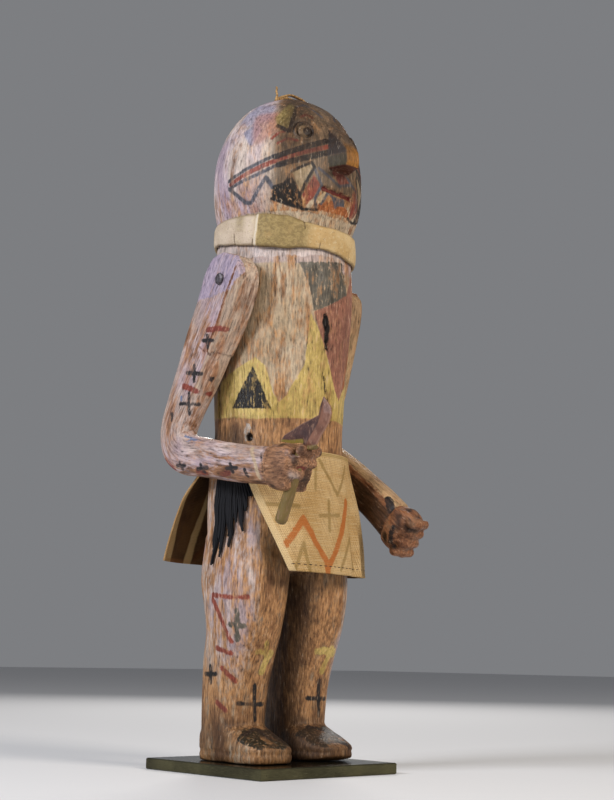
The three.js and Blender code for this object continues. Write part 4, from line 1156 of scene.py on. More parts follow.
def nail_mesh(name, side):
    rings = []
    profile = [(-NAIL_LONG, 0.4), (-NAIL_LONG + 3, SHANK_DIAMETER / 2), (0.0, SHANK_DIAMETER / 2),
               (0.05, HEAD_DIAMETER / 2 - 0.25), (0.3, HEAD_DIAMETER / 2),
               (HEAD_THICK * 0.6, HEAD_DIAMETER / 2), (HEAD_THICK * 0.85, HEAD_DIAMETER * 0.44),
               (HEAD_THICK, HEAD_DIAMETER * 0.33), (HEAD_THICK * 1.02, HEAD_DIAMETER * 0.1)]
    for reach, half in profile:
        middle = (side * (NAIL["out"] + reach), NAIL["back"], SOLE + NAIL["height"])
        rings.append(ring(middle, Y, Z, half, half, 2, NAIL_SIDES))
    points, faces = loft(rings)
    beaten = (points[:, 0] * side > NAIL["out"] + 0.5)
    points[beaten, 0] += side * 0.22 * drift(points[beaten], (1.8, 1.8, 1.8), 21)
    points[beaten] += (0, 1, 0) * (0.16 * drift(points[beaten], (2.5, 2.5, 2.5), 22))[:, None]
    return whole(name, [(points, faces)])


def beaten_iron():
    finish = Finish("beaten_iron")
    place = finish.place()
    cloud = finish.noise(place, (1, 1, 1), 420, 4)
    pits = finish.noise(place, (1, 1, 1), 1600, 3)
    base = finish.blend(finish.span(cloud, 0.35, 0.65), colour("#4a464a"), colour("#6d686d"))
    base = finish.blend(finish.span(pits, 0.58, 0.7), base, colour("#4d3326"))
    normal = finish.bump(pits, 0.00008, finish.bump(cloud, 0.00018))
    return finish.end(base, finish.span(cloud, 0.3, 0.7, 0.4, 0.65), normal, metallic=0.7)


iron = beaten_iron()
for name, side in (("nail_right", -1), ("nail_left", 1)):
    nail = new_object(name + "_struck", nail_mesh(name, side))
    nail.data.shade_smooth()
    nail.data.materials.append(iron)
    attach(nail, "root")
    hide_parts(name)


# The collar: a strip of pale hide, wrapped round the neck with its ends lapped at the right and
# stuck down. It has dried, cracked from its lower edge and gone olive in patches.
# Each row has degrees round from the front, and the heights of the lower and upper edge.
COLLAR = [
    [-180, 300.6, 312.0], [-116, 299.6, 312.0], [-86, 295.2, 311.6], [-70, 293.0, 311.4],
    [-42, 291.0, 309.8], [-20, 291.8, 306.8], [2, 291.8, 306.0], [30, 289.8, 306.6],
    [70, 292.4, 310.0], [116, 297.6, 312.0], [180, 300.6, 312.0],
]
COLLAR_THICK, COLLAR_GAP, COLLAR_LAP, LAP_PROUD = 1.8, 0.8, -64, 1.15
COLLAR_STEPS, COLLAR_ROWS, MM_PER_DEGREE = 400, 16, 0.75
# Each crack has degrees round, the share of the height it starts from, its reach and half width.
COLLAR_CRACKS = [(-84, 0.0, 0.42, 0.6), (-67, 0.0, 0.22, 0.5), (-26, 1.0, 0.30, 0.6),
                 (-12, 0.0, 0.25, 0.4), (22, 0.0, 0.35, 0.5), (96, 1.0, 0.4, 0.6),
                 (150, 0.0, 0.5, 0.6)]


def hide_strip():
    """The closed strip, with where its points lie: degrees round, and share of its height."""
    rings, turned, share_up = [], [], []
    up = np.linspace(0, 1, COLLAR_ROWS)
    for degrees in np.linspace(-180, 180, COLLAR_STEPS, endpoint=False):
        low, high = along(COLLAR, degrees, 1), along(COLLAR, degrees, 2)
        angle = math.radians(degrees - 90)
        wave = 0.5 * math.sin(degrees * 0.11) + 0.35 * math.sin(degrees * 0.31 + 1)
        lap = LAP_PROUD * (soft_step(degrees, COLLAR_LAP - 0.6, COLLAR_LAP + 0.6)
                           * soft_step(-degrees, -COLLAR_LAP - 34, -COLLAR_LAP - 4))
        ring_points = []
        for inner, shares in ((True, up[::-1]), (False, up)):
            for share in shares:
                height = low + share * (high - low) + wave * 0.4 * (2 * share - 1)
                wide, deep, back, _ = trunk_at(height)
                bulge = 0.5 * math.sin(math.pi * share)
                round_edge = 0.55 * (abs(2 * share - 1) ** 6)
                out = COLLAR_GAP if inner else COLLAR_GAP + COLLAR_THICK + bulge + lap - round_edge
                ring_points.append(((wide + out) * math.cos(angle),
                                    back + (deep + out) * math.sin(angle), SOLE + height))
                turned.append(degrees)
                share_up.append(share)
        rings.append(np.array(ring_points))
    count, total = len(rings[0]), len(rings)
    faces = [(i * count + j, ((i + 1) % total) * count + j,
              ((i + 1) % total) * count + (j + 1) % count, i * count + (j + 1) % count)
             for i in range(total) for j in range(count)]
    mesh = whole("collar", [(np.concatenate(rings), faces)])
    return mesh, np.array(turned), np.array(share_up)


def age_hide(mesh, turned, share_up):
    """Dries the strip: dents and cracks in its outer face, and the stains that it has taken."""
    points, normals = points_of(mesh), normals_of(mesh)
    outer = np.hypot(points[:, 0], points[:, 1] + 3) > 42.2
    crack = np.full(len(points), 9.0)
    for degrees, start, reach, half in COLLAR_CRACKS:
        wander = (share_up - start) * 3.0 * math.sin(degrees)
        side = np.abs((turned - degrees) * MM_PER_DEGREE - wander) - half * 0.5
        within = np.abs(share_up - start) - reach
        crack = np.minimum(crack, np.maximum(side, within * 14))
    push = 0.28 * drift(points, (7, 7, 5), 31) - 0.9 * soft_step(-crack, -0.5, 0.3)
    move_to(mesh, points + normals * (push * outer)[:, None])
    mark(mesh, "crack", crack)
    mark(mesh, "lap", np.abs((turned - COLLAR_LAP) * MM_PER_DEGREE
                             + 0.5 * drift(points, (3, 3, 3), 71)))
    olive = soft_step(turned, -64, -61) * soft_step(-turned, 6, 34)
    olive += 0.6 * band_at(turned, -80, 7) * (share_up > 0.4)
    mark(mesh, "olive", olive + 0.4 * band_at(turned, 120, 30))
    mark(mesh, "chalk", soft_step(-turned, 60, 70) * soft_step(turned, -140, -110))
    mark(mesh, "rim", np.abs(share_up - 0.5) * 2)


def dry_hide():
    finish = Finish("dry_hide")
    place = finish.place()
    cloud = finish.noise(place, (1, 1, 1), 75, 4)
    pores = finish.noise(place, (1, 1, 1), 1100, 3)
    wrinkle = finish.noise(place, (1, 1, 1.2), 420, 5, 0.65)
    base = finish.blend(finish.span(cloud, 0.35, 0.65), colour("#b08f58"), colour("#c4aa7c"))
    base = finish.blend(finish.span(finish.field("chalk"), 0, 1, 0, 0.7), base,
                        finish.blend(cloud, colour("#a99a86"), colour("#cbbcb4")))
    base = finish.blend(finish.span(wrinkle, 0.52, 0.68, 0, 0.5), base, colour("#cdbd9c"))
    stain = finish.combine("MULTIPLY", finish.field("olive"), finish.span(cloud, 0.25, 0.6, 0.5, 1.0))
    base = finish.blend(finish.span(stain, 0.15, 0.85, 0, 0.9), base, finish.blend(
        finish.span(wrinkle, 0.4, 0.6), colour("#6f5c30"), colour("#8c7847")))
    base = finish.blend(finish.span(finish.field("rim"), 0.82, 1.0, 0, 0.5), base,
                        colour("#6d5836"))
    base = finish.blend(finish.span(finish.field("lap"), 1.4, 0.3, 0, 0.7), base,
                        colour("#ddd2c0"))
    base = finish.blend(finish.span(finish.field("crack"), 0.35, -0.1, 0, 0.8), base,
                        colour("#4b3a1c"))
    base = finish.blend(finish.span(pores, 0.30, 0.42, 0.5, 0), base, colour("#6b5630"))
    normal = finish.bump(pores, 0.0002, finish.bump(wrinkle, 0.0009))
    return finish.end(base, finish.span(cloud, 0.3, 0.7, 0.45, 0.7), normal)


hide_mesh, turned, share_up = hide_strip()
age_hide(hide_mesh, turned, share_up)
hide_mesh.shade_smooth()
hide_mesh.materials.append(dry_hide())
hide = new_object("collar_hide", hide_mesh)
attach(hide, "root")
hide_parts("collar")


# The kilt: one piece of coarse canvas, hemmed and stitched at the foot, painted, and wrapped from
# the front of the right hip round the left side and back to a flap that stands off the thigh.
KILT = {"top": 174, "from": (-74, -31), "to": (246, 234), "waist": 1.0,
        "flare": (10.0, 6.0, 8.5), "flap": 15.0, "flap_turns": 46}
KILT_HEM = [[-31, 105.0], [45, 104.4], [110, 107.0], [175, 111.0], [234, 112.0]]
CANVAS_THICK, CLOTH_GAP = 1.0, 0.5
FOLDS = {"deep": 1.5, "turn": 34, "from": 40, "to": 200}
SIDE_FOLD = 6.5
HIP_SQUARENESS = 2.2
KILT_COLUMNS, KILT_ROWS, KILT_DROP = 320, 84, 70
CLOTH_ROUND = 46.0


def hip_reach(turn, height):
    """How far from the middle the hips reach, along a turn from the front at a height."""
    angle = math.radians(turn - 90)
    wide, deep, back, power = trunk_at(height)
    legs = height <= LEG[-1][0]
    out, leg_back, leg_wide, leg_deep, leg_power = (along(LEG, height, c) for c in range(1, 6))
    reach = np.arange(wide + leg_wide, 0, -0.1)
    x, y = reach * math.cos(angle), reach * math.sin(angle)
    inside = (np.abs(x) / wide) ** power + (np.abs(y) / deep) ** power <= 1
    if legs:
        inside |= ((np.abs(np.abs(x) - out) / leg_wide) ** leg_power
                   + (np.abs(y + back - leg_back) / leg_deep) ** leg_power) <= 1
    return float(reach[np.argmax(inside)]) if inside.any() else 0.0


HIP_STEP = (4, 3)
HIP_TURNS, HIP_HEIGHTS = np.arange(-120, 281, HIP_STEP[0]), np.arange(100, 181, HIP_STEP[1])
HIP = np.array([[hip_reach(t, h) for h in HIP_HEIGHTS] for t in HIP_TURNS])


def hip_at(turn, height):
    """The same reach, read between measured turns and heights."""
    i = np.clip((turn - HIP_TURNS[0]) / HIP_STEP[0], 0, len(HIP_TURNS) - 1.001)
    j = np.clip((height - HIP_HEIGHTS[0]) / HIP_STEP[1], 0, len(HIP_HEIGHTS) - 1.001)
    a, b = int(i), int(j)
    u, v = i - a, j - b
    return ((1 - u) * (1 - v) * HIP[a, b] + u * (1 - v) * HIP[a + 1, b]
            + (1 - u) * v * HIP[a, b + 1] + u * v * HIP[a + 1, b + 1])


def kilt_spot(share, drop):
    """Where a share of the way along the cloth and down it hangs, its bearing and its height."""
    start = KILT["from"][0] + (KILT["from"][1] - KILT["from"][0]) * drop
    end = KILT["to"][0] + (KILT["to"][1] - KILT["to"][0]) * drop
    bearing = start + (end - start) * share
    flap = soft_step(bearing, KILT["to"][1] - KILT["flap_turns"], KILT["to"][0])
    hem = along(KILT_HEM, KILT["from"][1] + (KILT["to"][1] - KILT["from"][1]) * share, 1)
    height = KILT["top"] + (hem - KILT["top"]) * drop
    hip, waist = trunk_at(height), trunk_at(KILT["top"])
    angle = math.radians(bearing - 90)
    c, s = math.cos(angle), math.sin(angle)
    wide = max(hip[0], waist[0]) + KILT["flare"][0] * drop
    deep = max(hip[1], waist[1]) + KILT["flare"][1 if s < 0 else 2] * drop
    radius = ((abs(c) / wide) ** HIP_SQUARENESS
              + (abs(s) / deep) ** HIP_SQUARENESS) ** (-1 / HIP_SQUARENESS)
    folded = 1.0 if FOLDS["from"] < bearing < FOLDS["to"] else 0.0
    fold = FOLDS["deep"] * drop * folded * math.sin(
        math.pi * (bearing - FOLDS["from"]) / FOLDS["turn"]) ** 2
    ripple = 0.5 * drop * math.sin(bearing * 0.33) + 0.25 * math.sin(bearing * 0.9 + 3 * drop)
    ripple += SIDE_FOLD * math.sin(bearing * 0.42 - 3.2 * drop) * soft_step(drop, 0.05, 0.5) * (
        soft_step(bearing, 26, 42) - soft_step(bearing, 92, 120))
    stand_off = flap * KILT["flap"] * (0.3 * soft_step(drop, 0.1, 0.45) + 0.7 * drop)
    hang = max(radius, hip_at(bearing, height)) + KILT["waist"]
    reach = (hang + stand_off + fold + 0.35 * ripple * (1 - 0.4 * (drop < 0.1)) + CLOTH_GAP
             + CANVAS_THICK / 2)
    return (reach * c, reach * s + hip[2], SOLE + height), bearing, height


cloth_points, cloth_turns, cloth_heights = [], [], []
for i in range(KILT_COLUMNS + 1):
    for j in range(KILT_ROWS + 1):
        spot, bearing, height = kilt_spot(i / KILT_COLUMNS, j / KILT_ROWS)
        cloth_points.append(spot)
        cloth_turns.append(bearing)
        cloth_heights.append(height)
cloth_points = np.array(cloth_points)
grid = cloth_points.reshape(KILT_COLUMNS + 1, KILT_ROWS + 1, 3)
middle_row = grid[:, KILT_ROWS // 2]
run_along = np.r_[0, np.cumsum(np.linalg.norm(np.diff(middle_row, axis=0), axis=1))]
run_down = np.r_[0, np.cumsum(np.linalg.norm(np.diff(grid[0], axis=0), axis=1))]
down = KILT_ROWS + 1
cloth_faces = [(i * down + j, i * down + j + 1, (i + 1) * down + j + 1, (i + 1) * down + j)
               for i in range(KILT_COLUMNS) for j in range(KILT_ROWS)]
kilt_mesh = bpy.data.meshes.new("kilt")
kilt_mesh.from_pydata((cloth_points * MM).tolist(), [], cloth_faces)
weave = kilt_mesh.uv_layers.new(name="weave")
corner = np.empty(len(kilt_mesh.loops), np.int32)
kilt_mesh.loops.foreach_get("vertex_index", corner)
uv = np.stack([run_along[corner // down], run_down[corner % down]], axis=1) * MM
weave.data.foreach_set("uv", uv.astype(np.float32).ravel())
spots = np.stack([np.radians(cloth_turns) * CLOTH_ROUND, cloth_heights], axis=1)

# The cloth's painted lines, in degrees round from the front and millimetres above the soles.
ORANGE_ZIGZAG = [(-33.7, 119.7), (-20.5, 134.5), (-10.7, 122), (0, 111), (1, 105.5), (1, 108),
                 (10, 118), (18.5, 130), (22, 137), (26.9, 147)]
OLIVE_LINES = [[(-4, 169), (6, 159.5), (15.7, 150), (23, 158), (30.5, 168)],
               [(-8, 165), (-8.8, 152)], [(4.4, 146), (4.0, 129)], [(-5.4, 137), (16, 138.4)],
               [(-27.4, 104), (-20.5, 121), (-15, 104)], [(15, 107), (28, 126), (35.5, 108)],
               [(50, 168), (62, 150), (74, 168)], [(95, 106), (104, 124), (113, 108)],
               [(140, 108), (150, 126), (160, 110)], [(185, 112), (194, 128), (203, 112)]]
BACK_ZIGZAG = [(60, 147), (78, 112), (96, 138), (118, 112), (140, 140), (162, 114), (184, 140),
               (206, 116)]
WAIST_LINE = [(-48, 141.9), (-24, 141.4)]
LINING_STRIP = [(199, 172), (206, 150), (211, 128), (212, 112)]
LINING_SLIVER = [(204, 166), (205.5, 152)]
BAND_HEIGHT, BAND_HALF, PALE_END, FOLDED_END = 172.6, 0.9, 8.5, 4.5


def brushed(paths, half):
    """Distance to the nearest of some lines painted on the cloth."""
    return least(*[line(spots, on_round(path, CLOTH_ROUND), half) for path in paths])


mark(kilt_mesh, "orange", brushed([ORANGE_ZIGZAG, BACK_ZIGZAG], 1.9))
mark(kilt_mesh, "olive", least(brushed(OLIVE_LINES, 1.0), brushed([WAIST_LINE], 1.2)))
mark(kilt_mesh, "band", np.abs(spots[:, 1] - BAND_HEIGHT) - BAND_HALF)
mark(kilt_mesh, "flap", soft_step(np.array(cloth_turns), 196, 226))
column, row = np.divmod(np.arange(len(spots)), down)
start_run, end_run = run_along[column], run_along[-1] - run_along[column]
mark(kilt_mesh, "hem", least(start_run, end_run, run_down[-1] - run_down[row]))
bearing_height = np.stack([np.array(cloth_turns), spots[:, 1]], axis=1)
mark(kilt_mesh, "pale", least(end_run - PALE_END, line(bearing_height, LINING_STRIP, 2.4)))
mark(kilt_mesh, "fold", start_run - FOLDED_END)
mark(kilt_mesh, "sliver", line(bearing_height, LINING_SLIVER, 1.3))
kilt = new_object("kilt_canvas", kilt_mesh)
kilt_mesh.shade_smooth()


def coarse_canvas():
    finish = Finish("coarse_canvas")
    cloth = finish.node("ShaderNodeUVMap", uv_map="weave").outputs["UV"]
    warp = finish.node("ShaderNodeTexWave", {"Vector": cloth, "Scale": 290, "Distortion": 1.2,
                                             "Detail": 2, "Detail Scale": 1.5},
                       bands_direction="X").outputs["Fac"]
    weft = finish.node("ShaderNodeTexWave", {"Vector": cloth, "Scale": 290, "Distortion": 1.2,
                                             "Detail": 2, "Detail Scale": 1.5},
                       bands_direction="Y").outputs["Fac"]
    threads = finish.combine("MAXIMUM", warp, weft)
    slub_x = finish.noise(cloth, (1, 0.05, 1), 1100, 2)
    slub_y = finish.noise(cloth, (0.05, 1, 1), 1100, 2)
    cloud = finish.noise(finish.place(), (1, 1, 1), 55, 4)
    base = finish.blend(finish.span(cloud, 0.35, 0.65), colour("#b6935f"), colour("#c9aa7a"))
    base = finish.blend(finish.span(slub_x, 0.48, 0.64, 0, 0.4), base, colour("#8f7048"))
    base = finish.blend(finish.span(slub_y, 0.48, 0.64, 0, 0.4), base, colour("#cdb48a"))
    base = finish.blend(finish.span(threads, 0.6, 0.1, 0, 0.55), base, colour("#6f5434"))
    fray = finish.combine("MULTIPLY", finish.combine("SUBTRACT", slub_x, 0.5), 3.0)
    for field, ink, strength in (("olive", "#7b6434", 0.62), ("band", "#7d6a33", 0.45),
                                 ("orange", "#a85a22", 0.85)):
        edge = finish.combine("ADD", finish.field(field), fray)
        laid = finish.combine("MULTIPLY", finish.span(edge, 0.5, -0.4, 0, strength),
                          finish.span(slub_y, 0.25, 0.5, 0.7, 1.0))
        base = finish.blend(laid, base, colour(ink))
    base = finish.blend(finish.span(finish.field("fold"), 0.4, -0.2, 0, 0.6), base,
                        colour("#d3bb90"))
    # The cloth's inner face is painted dark brown as painted shade; along the flap's end and a strip by
    # the leg it keeps a canvas colour, and a red sliver lies on it.
    painted_shade_and_dirt = finish.blend(finish.span(cloud, 0.35, 0.65), colour("#3a2213"), colour("#5b3c1c"))
    lining = finish.field("lining")
    ragged = finish.combine("MULTIPLY", finish.combine("SUBTRACT", cloud, 0.5), 5.0)
    painted_shade_and_dirt = finish.blend(finish.span(finish.combine("ADD", finish.field("pale"), ragged), 0.8, -0.8),
                        painted_shade_and_dirt, finish.blend(cloud, colour("#b0925e"), colour("#d0b686")))
    painted_shade_and_dirt = finish.blend(finish.span(finish.field("sliver"), 0.6, -0.4), painted_shade_and_dirt, colour("#5e1d16"))
    base = finish.blend(finish.span(lining, 0, 1, 0, 0.92), base, painted_shade_and_dirt)
    ends = finish.combine("MULTIPLY", finish.field("flap"), finish.span(finish.field("hem"), 4, 1.5))
    base = finish.blend(finish.span(ends, 0, 1, 0, 0.35), base, colour("#a06a3a"))
    normal = finish.bump(threads, 0.0003)
    return finish.end(base, 0.9, normal, Specular_IOR_Level=0.15)


wall = kilt.modifiers.new("wall", "SOLIDIFY")
wall.thickness, wall.offset = CANVAS_THICK * MM, 0
depsgraph = bpy.context.evaluated_depsgraph_get()
kilt_mesh = bpy.data.meshes.new_from_object(kilt.evaluated_get(depsgraph))
kilt.modifiers.clear()
kilt.data = kilt_mesh
cloth_points, cloth_normals = points_of(kilt_mesh), normals_of(kilt_mesh)
from_axis = cloth_points[:, :2] / np.linalg.norm(cloth_points[:, :2], axis=1)[:, None]
inward = np.einsum("ij,ij->i", cloth_normals[:, :2], from_axis) < 0
# Faces turned in toward the body take the lining's painted shade.
mark(kilt_mesh, "lining", inward.astype(float))
kilt_mesh.materials.append(coarse_canvas())
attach(kilt, "root")
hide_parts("kilt")


# The hem's running stitches: dark waxed thread, drawn through the canvas a few millimetres above
# its lower edge.
STITCH_RISE, STITCH_PITCH, STITCH_LONG, STITCH_HALF = 4.2, 3.6, 1.1, 0.28
STITCH_PROUD, HEM_MARGIN = 0.05, 0.02


def stitch_tree(material):
    """Lays short thread stitches along a line at an even pitch."""
    tree = bpy.data.node_groups.new("running_stitches", "GeometryNodeTree")
    face = tree.interface
    face.new_socket("Line", in_out="INPUT", socket_type="NodeSocketGeometry")
    pitch = face.new_socket("Pitch", in_out="INPUT", socket_type="NodeSocketFloat")
    half_long = face.new_socket("Half length", in_out="INPUT", socket_type="NodeSocketFloat")
    thread = face.new_socket("Thread", in_out="INPUT", socket_type="NodeSocketFloat")
    face.new_socket("Stitches", in_out="OUTPUT", socket_type="NodeSocketGeometry")
    nodes, links = tree.nodes, tree.links
    given, out = nodes.new("NodeGroupInput"), nodes.new("NodeGroupOutput")
    curve = nodes.new("GeometryNodeMeshToCurve")
    spaced = nodes.new("GeometryNodeResampleCurve")
    spaced.mode = "LENGTH"
    tangent = nodes.new("GeometryNodeInputTangent")
    aim = nodes.new("FunctionNodeAlignEulerToVector")
    aim.axis = "Z"
    bead = nodes.new("GeometryNodeMeshUVSphere")
    bead.inputs["Segments"].default_value, bead.inputs["Rings"].default_value = 8, 6
    size = nodes.new("ShaderNodeCombineXYZ")
    put = nodes.new("GeometryNodeInstanceOnPoints")
    real = nodes.new("GeometryNodeRealizeInstances")
    smooth_shade = nodes.new("GeometryNodeSetShadeSmooth")
    paint = nodes.new("GeometryNodeSetMaterial")
    paint.inputs["Material"].default_value = material
    links.new(given.outputs["Line"], curve.inputs["Mesh"])
    links.new(curve.outputs["Curve"], spaced.inputs["Curve"])
    links.new(given.outputs["Pitch"], spaced.inputs["Length"])
    links.new(spaced.outputs["Curve"], put.inputs["Points"])
    links.new(tangent.outputs["Tangent"], aim.inputs["Vector"])
    links.new(aim.outputs["Rotation"], put.inputs["Rotation"])
    links.new(bead.outputs["Mesh"], put.inputs["Instance"])
    links.new(given.outputs["Thread"], size.inputs["X"])
    links.new(given.outputs["Thread"], size.inputs["Y"])
    links.new(given.outputs["Half length"], size.inputs["Z"])
    links.new(size.outputs["Vector"], put.inputs["Scale"])
    links.new(put.outputs["Instances"], real.inputs["Geometry"])
    links.new(real.outputs["Geometry"], smooth_shade.inputs["Geometry"])
    links.new(smooth_shade.outputs["Geometry"], paint.inputs["Geometry"])
    links.new(paint.outputs["Geometry"], out.inputs["Stitches"])
    return tree, {"Pitch": pitch, "Half length": half_long, "Thread": thread}


def grown(name, line_mesh, tree, sockets, values):
    """Runs a tree on a line and returns the plain mesh object that it makes."""
    holder = new_object(name, line_mesh)
    step = holder.modifiers.new("grow", "NODES")
    step.node_group = tree
    for key, value in values.items():
        step[sockets[key].identifier] = value
    holder.update_tag()
    bpy.context.view_layer.update()
    depsgraph = bpy.context.evaluated_depsgraph_get()
    made = bpy.data.meshes.new_from_object(holder.evaluated_get(depsgraph))
    holder.modifiers.clear()
    holder.data = made
    return holder


def plain_line(name, paths):
    points, edges = [], []
    for path in paths:
        start = len(points)
        points += [tuple(c * MM for c in p) for p in path]
        edges += [(start + i, start + i + 1) for i in range(len(path) - 1)]
    mesh = bpy.data.meshes.new(name)
    mesh.from_pydata(points, edges, [])
    return mesh


def waxed_thread():
    finish = Finish("waxed_thread")
    twist = finish.noise(finish.place(), (1, 1, 1), 1900, 2)
    base = finish.blend(twist, colour("#2a1f14"), colour("#4a3824"))
    return finish.end(base, 0.7, finish.bump(twist, 0.00005))


hem_path = []
for share in np.linspace(HEM_MARGIN, 1 - HEM_MARGIN, 160):
    spot = kilt_spot(share, 1 - STITCH_RISE / KILT_DROP)[0]
    outwards = np.array([spot[0], spot[1], 0]) / math.hypot(spot[0], spot[1])
    hem_path.append(np.array(spot) + outwards * (CANVAS_THICK / 2 + STITCH_PROUD))
thread_tree, thread_sockets = stitch_tree(waxed_thread())
stitches = grown("hem_stitches", plain_line("hem_line", [hem_path]), thread_tree, thread_sockets,
                 {"Pitch": STITCH_PITCH * MM, "Half length": STITCH_LONG * MM,
                  "Thread": STITCH_HALF * MM})
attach(stitches, "root")


# The tuft: loose black yarn, tied at the waist over the right hip, hanging in strands down the
# thigh and dyed so dark that its threads hardly show.
TUFT_TOP, STRANDS, STRAND_STEPS = 158, 8, 22
YARN = {"Thread": 0.62 * MM, "Wander": 4.2 * MM, "Seed": 3.0}
# Each lock has its end, in degrees round and millimetres above the soles, and where it is tied.
LOCKS = [[-61.5, 146, -64], [-64.5, 139, -68], [-66.5, 127, -71], [-73.5, 131, -74],
         [-77.5, 117, -77], [-80, 124, -80], [-87.5, 112.5, -83], [-90, 121, -86],
         [-95.5, 107.5, -89], [-96, 118, -92]]


def strand_tree(material):
    """Gives each line a round thread that wanders a little and tapers at its end."""
    tree = bpy.data.node_groups.new("yarn_strands", "GeometryNodeTree")
    face = tree.interface
    face.new_socket("Lines", in_out="INPUT", socket_type="NodeSocketGeometry")
    thread = face.new_socket("Thread", in_out="INPUT", socket_type="NodeSocketFloat")
    wander = face.new_socket("Wander", in_out="INPUT", socket_type="NodeSocketFloat")
    seed = face.new_socket("Seed", in_out="INPUT", socket_type="NodeSocketFloat")
    face.new_socket("Strands", in_out="OUTPUT", socket_type="NodeSocketGeometry")
    nodes, links = tree.nodes, tree.links
    given, out = nodes.new("NodeGroupInput"), nodes.new("NodeGroupOutput")
    curve = nodes.new("GeometryNodeMeshToCurve")
    noise = nodes.new("ShaderNodeTexNoise")
    noise.noise_dimensions = "4D"
    noise.inputs["Scale"].default_value = 70
    centred = nodes.new("ShaderNodeVectorMath")
    centred.operation = "SUBTRACT"
    centred.inputs[1].default_value = (0.5, 0.5, 0.5)
    scaled = nodes.new("ShaderNodeVectorMath")
    scaled.operation = "SCALE"
    shift = nodes.new("GeometryNodeSetPosition")
    param = nodes.new("GeometryNodeSplineParameter")
    taper = nodes.new("ShaderNodeMapRange")
    taper.inputs["From Min"].default_value, taper.inputs["From Max"].default_value = 0.7, 1.0
    taper.inputs["To Min"].default_value, taper.inputs["To Max"].default_value = 1.0, 0.3
    radius = nodes.new("GeometryNodeSetCurveRadius")
    profile = nodes.new("GeometryNodeCurvePrimitiveCircle")
    profile.inputs["Resolution"].default_value = 8
    tube = nodes.new("GeometryNodeCurveToMesh")
    tube.inputs["Fill Caps"].default_value = True
    smooth_shade = nodes.new("GeometryNodeSetShadeSmooth")
    real = nodes.new("GeometryNodeRealizeInstances")
    paint = nodes.new("GeometryNodeSetMaterial")
    paint.inputs["Material"].default_value = material
    links.new(given.outputs["Lines"], curve.inputs["Mesh"])
    links.new(given.outputs["Seed"], noise.inputs["W"])
    links.new(noise.outputs["Color"], centred.inputs[0])
    links.new(centred.outputs["Vector"], scaled.inputs[0])
    links.new(given.outputs["Wander"], scaled.inputs["Scale"])
    links.new(curve.outputs["Curve"], shift.inputs["Geometry"])
    links.new(scaled.outputs["Vector"], shift.inputs["Offset"])
    links.new(shift.outputs["Geometry"], radius.inputs["Curve"])
    links.new(param.outputs["Factor"], taper.inputs["Value"])
    links.new(taper.outputs["Result"], radius.inputs["Radius"])
    links.new(given.outputs["Thread"], profile.inputs["Radius"])
    links.new(radius.outputs["Curve"], tube.inputs["Curve"])
    links.new(profile.outputs["Curve"], tube.inputs["Profile Curve"])
    links.new(tube.outputs["Mesh"], smooth_shade.inputs["Geometry"])
    links.new(smooth_shade.outputs["Geometry"], real.inputs["Geometry"])
    links.new(real.outputs["Geometry"], paint.inputs["Geometry"])
    links.new(paint.outputs["Geometry"], out.inputs["Strands"])
    return tree, {"Thread": thread, "Wander": wander, "Seed": seed}


def black_yarn():
    finish = Finish("black_yarn")
    place = finish.place()
    fibre = finish.noise(place, (1, 1, 0.12), 2600, 3)
    base = finish.blend(fibre, colour("#08080b"), colour("#17171c"))
    return finish.end(base, 0.75, finish.bump(fibre, 0.0001), Specular_IOR_Level=0.25)


chance = np.random.default_rng(5)
strand_paths = []
for end_turn, end_height, lock_turn in LOCKS:
    for strand in range(STRANDS):
        spot_in_lock = strand / (STRANDS - 1) - 0.5
        top_turn = lock_turn + 4.4 * spot_in_lock + chance.uniform(-0.4, 0.4)
        low_turn = end_turn + 1.0 * spot_in_lock + chance.uniform(-0.3, 0.3)
        low = end_height + chance.uniform(0, 9)
        layer = strand % 3
        path = []
        for share in np.linspace(0, 1, STRAND_STEPS):
            height = TUFT_TOP + (low - TUFT_TOP) * share
            bearing = top_turn + (low_turn - top_turn) * (0.35 * share + 0.65 * share ** 2)
            angle = math.radians(bearing - 90)
            reach = hip_at(bearing, height) + 1.3 + layer * 0.8 * (1 - 0.5 * share)
            path.append((reach * math.cos(angle), reach * math.sin(angle) + trunk_at(height)[2],
                         SOLE + height))
        strand_paths.append(path)
yarn_tree, yarn_sockets = strand_tree(black_yarn())
tuft = grown("hip_tuft_yarn", plain_line("tuft_lines", strand_paths), yarn_tree, yarn_sockets, YARN)
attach(tuft, "root")
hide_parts("hip_tuft")


# The knife: one slip of wood with a round handle and a broad blade, whose flats meet in a low
# ridge, painted purple-brown above and olive yellow on the grip.
KNIFE = {"out": 47.0, "butt": (-57.5, 128.5), "neck": (-75.5, 168.5), "thick": 3.6,
         "handle": 6.6}
BLADE = [(-77.0, 166.0), (-84.5, 166.5), (-89.6, 173.5), (-95.2, 179.5), (-97.0, 184.0),
         (-96.2, 188.0), (-90.8, 194.0), (-88.4, 189.0), (-87.2, 184.2), (-74.0, 181.0),
         (-60.2, 176.4), (-56.8, 173.2), (-66.0, 171.2), (-74.5, 170.8)]
BLADE_FOOT, KNIFE_EDGE, BEVEL_SLOPE, KNIFE_VOXEL = 168, 0.35, 0.36, 0.45
RIDGE = [(-91.0, 191.5), (-88.0, 180.0), (-80.0, 171.0), (-77, 166)]
BLADE_STRIPE = [(-57, 173), (-66, 171.6), (-75, 171.4)]
# The outline of the blade's facet that is painted lighter, as painted light.
LIT_FACET = [*RIDGE, (-84.5, 165), (-91, 172.5), (-97, 179), (-99, 184), (-97, 190)]


def blade_skin():
    outline = np.array(BLADE)
    rings = []
    for lift in (-1, 1):
        side = np.full((len(outline), 1), -KNIFE["out"] + lift * KNIFE["thick"] / 2)
        rings.append(np.concatenate([side, outline[:, :1], SOLE + outline[:, 1:]], axis=1))
    return loft(rings)


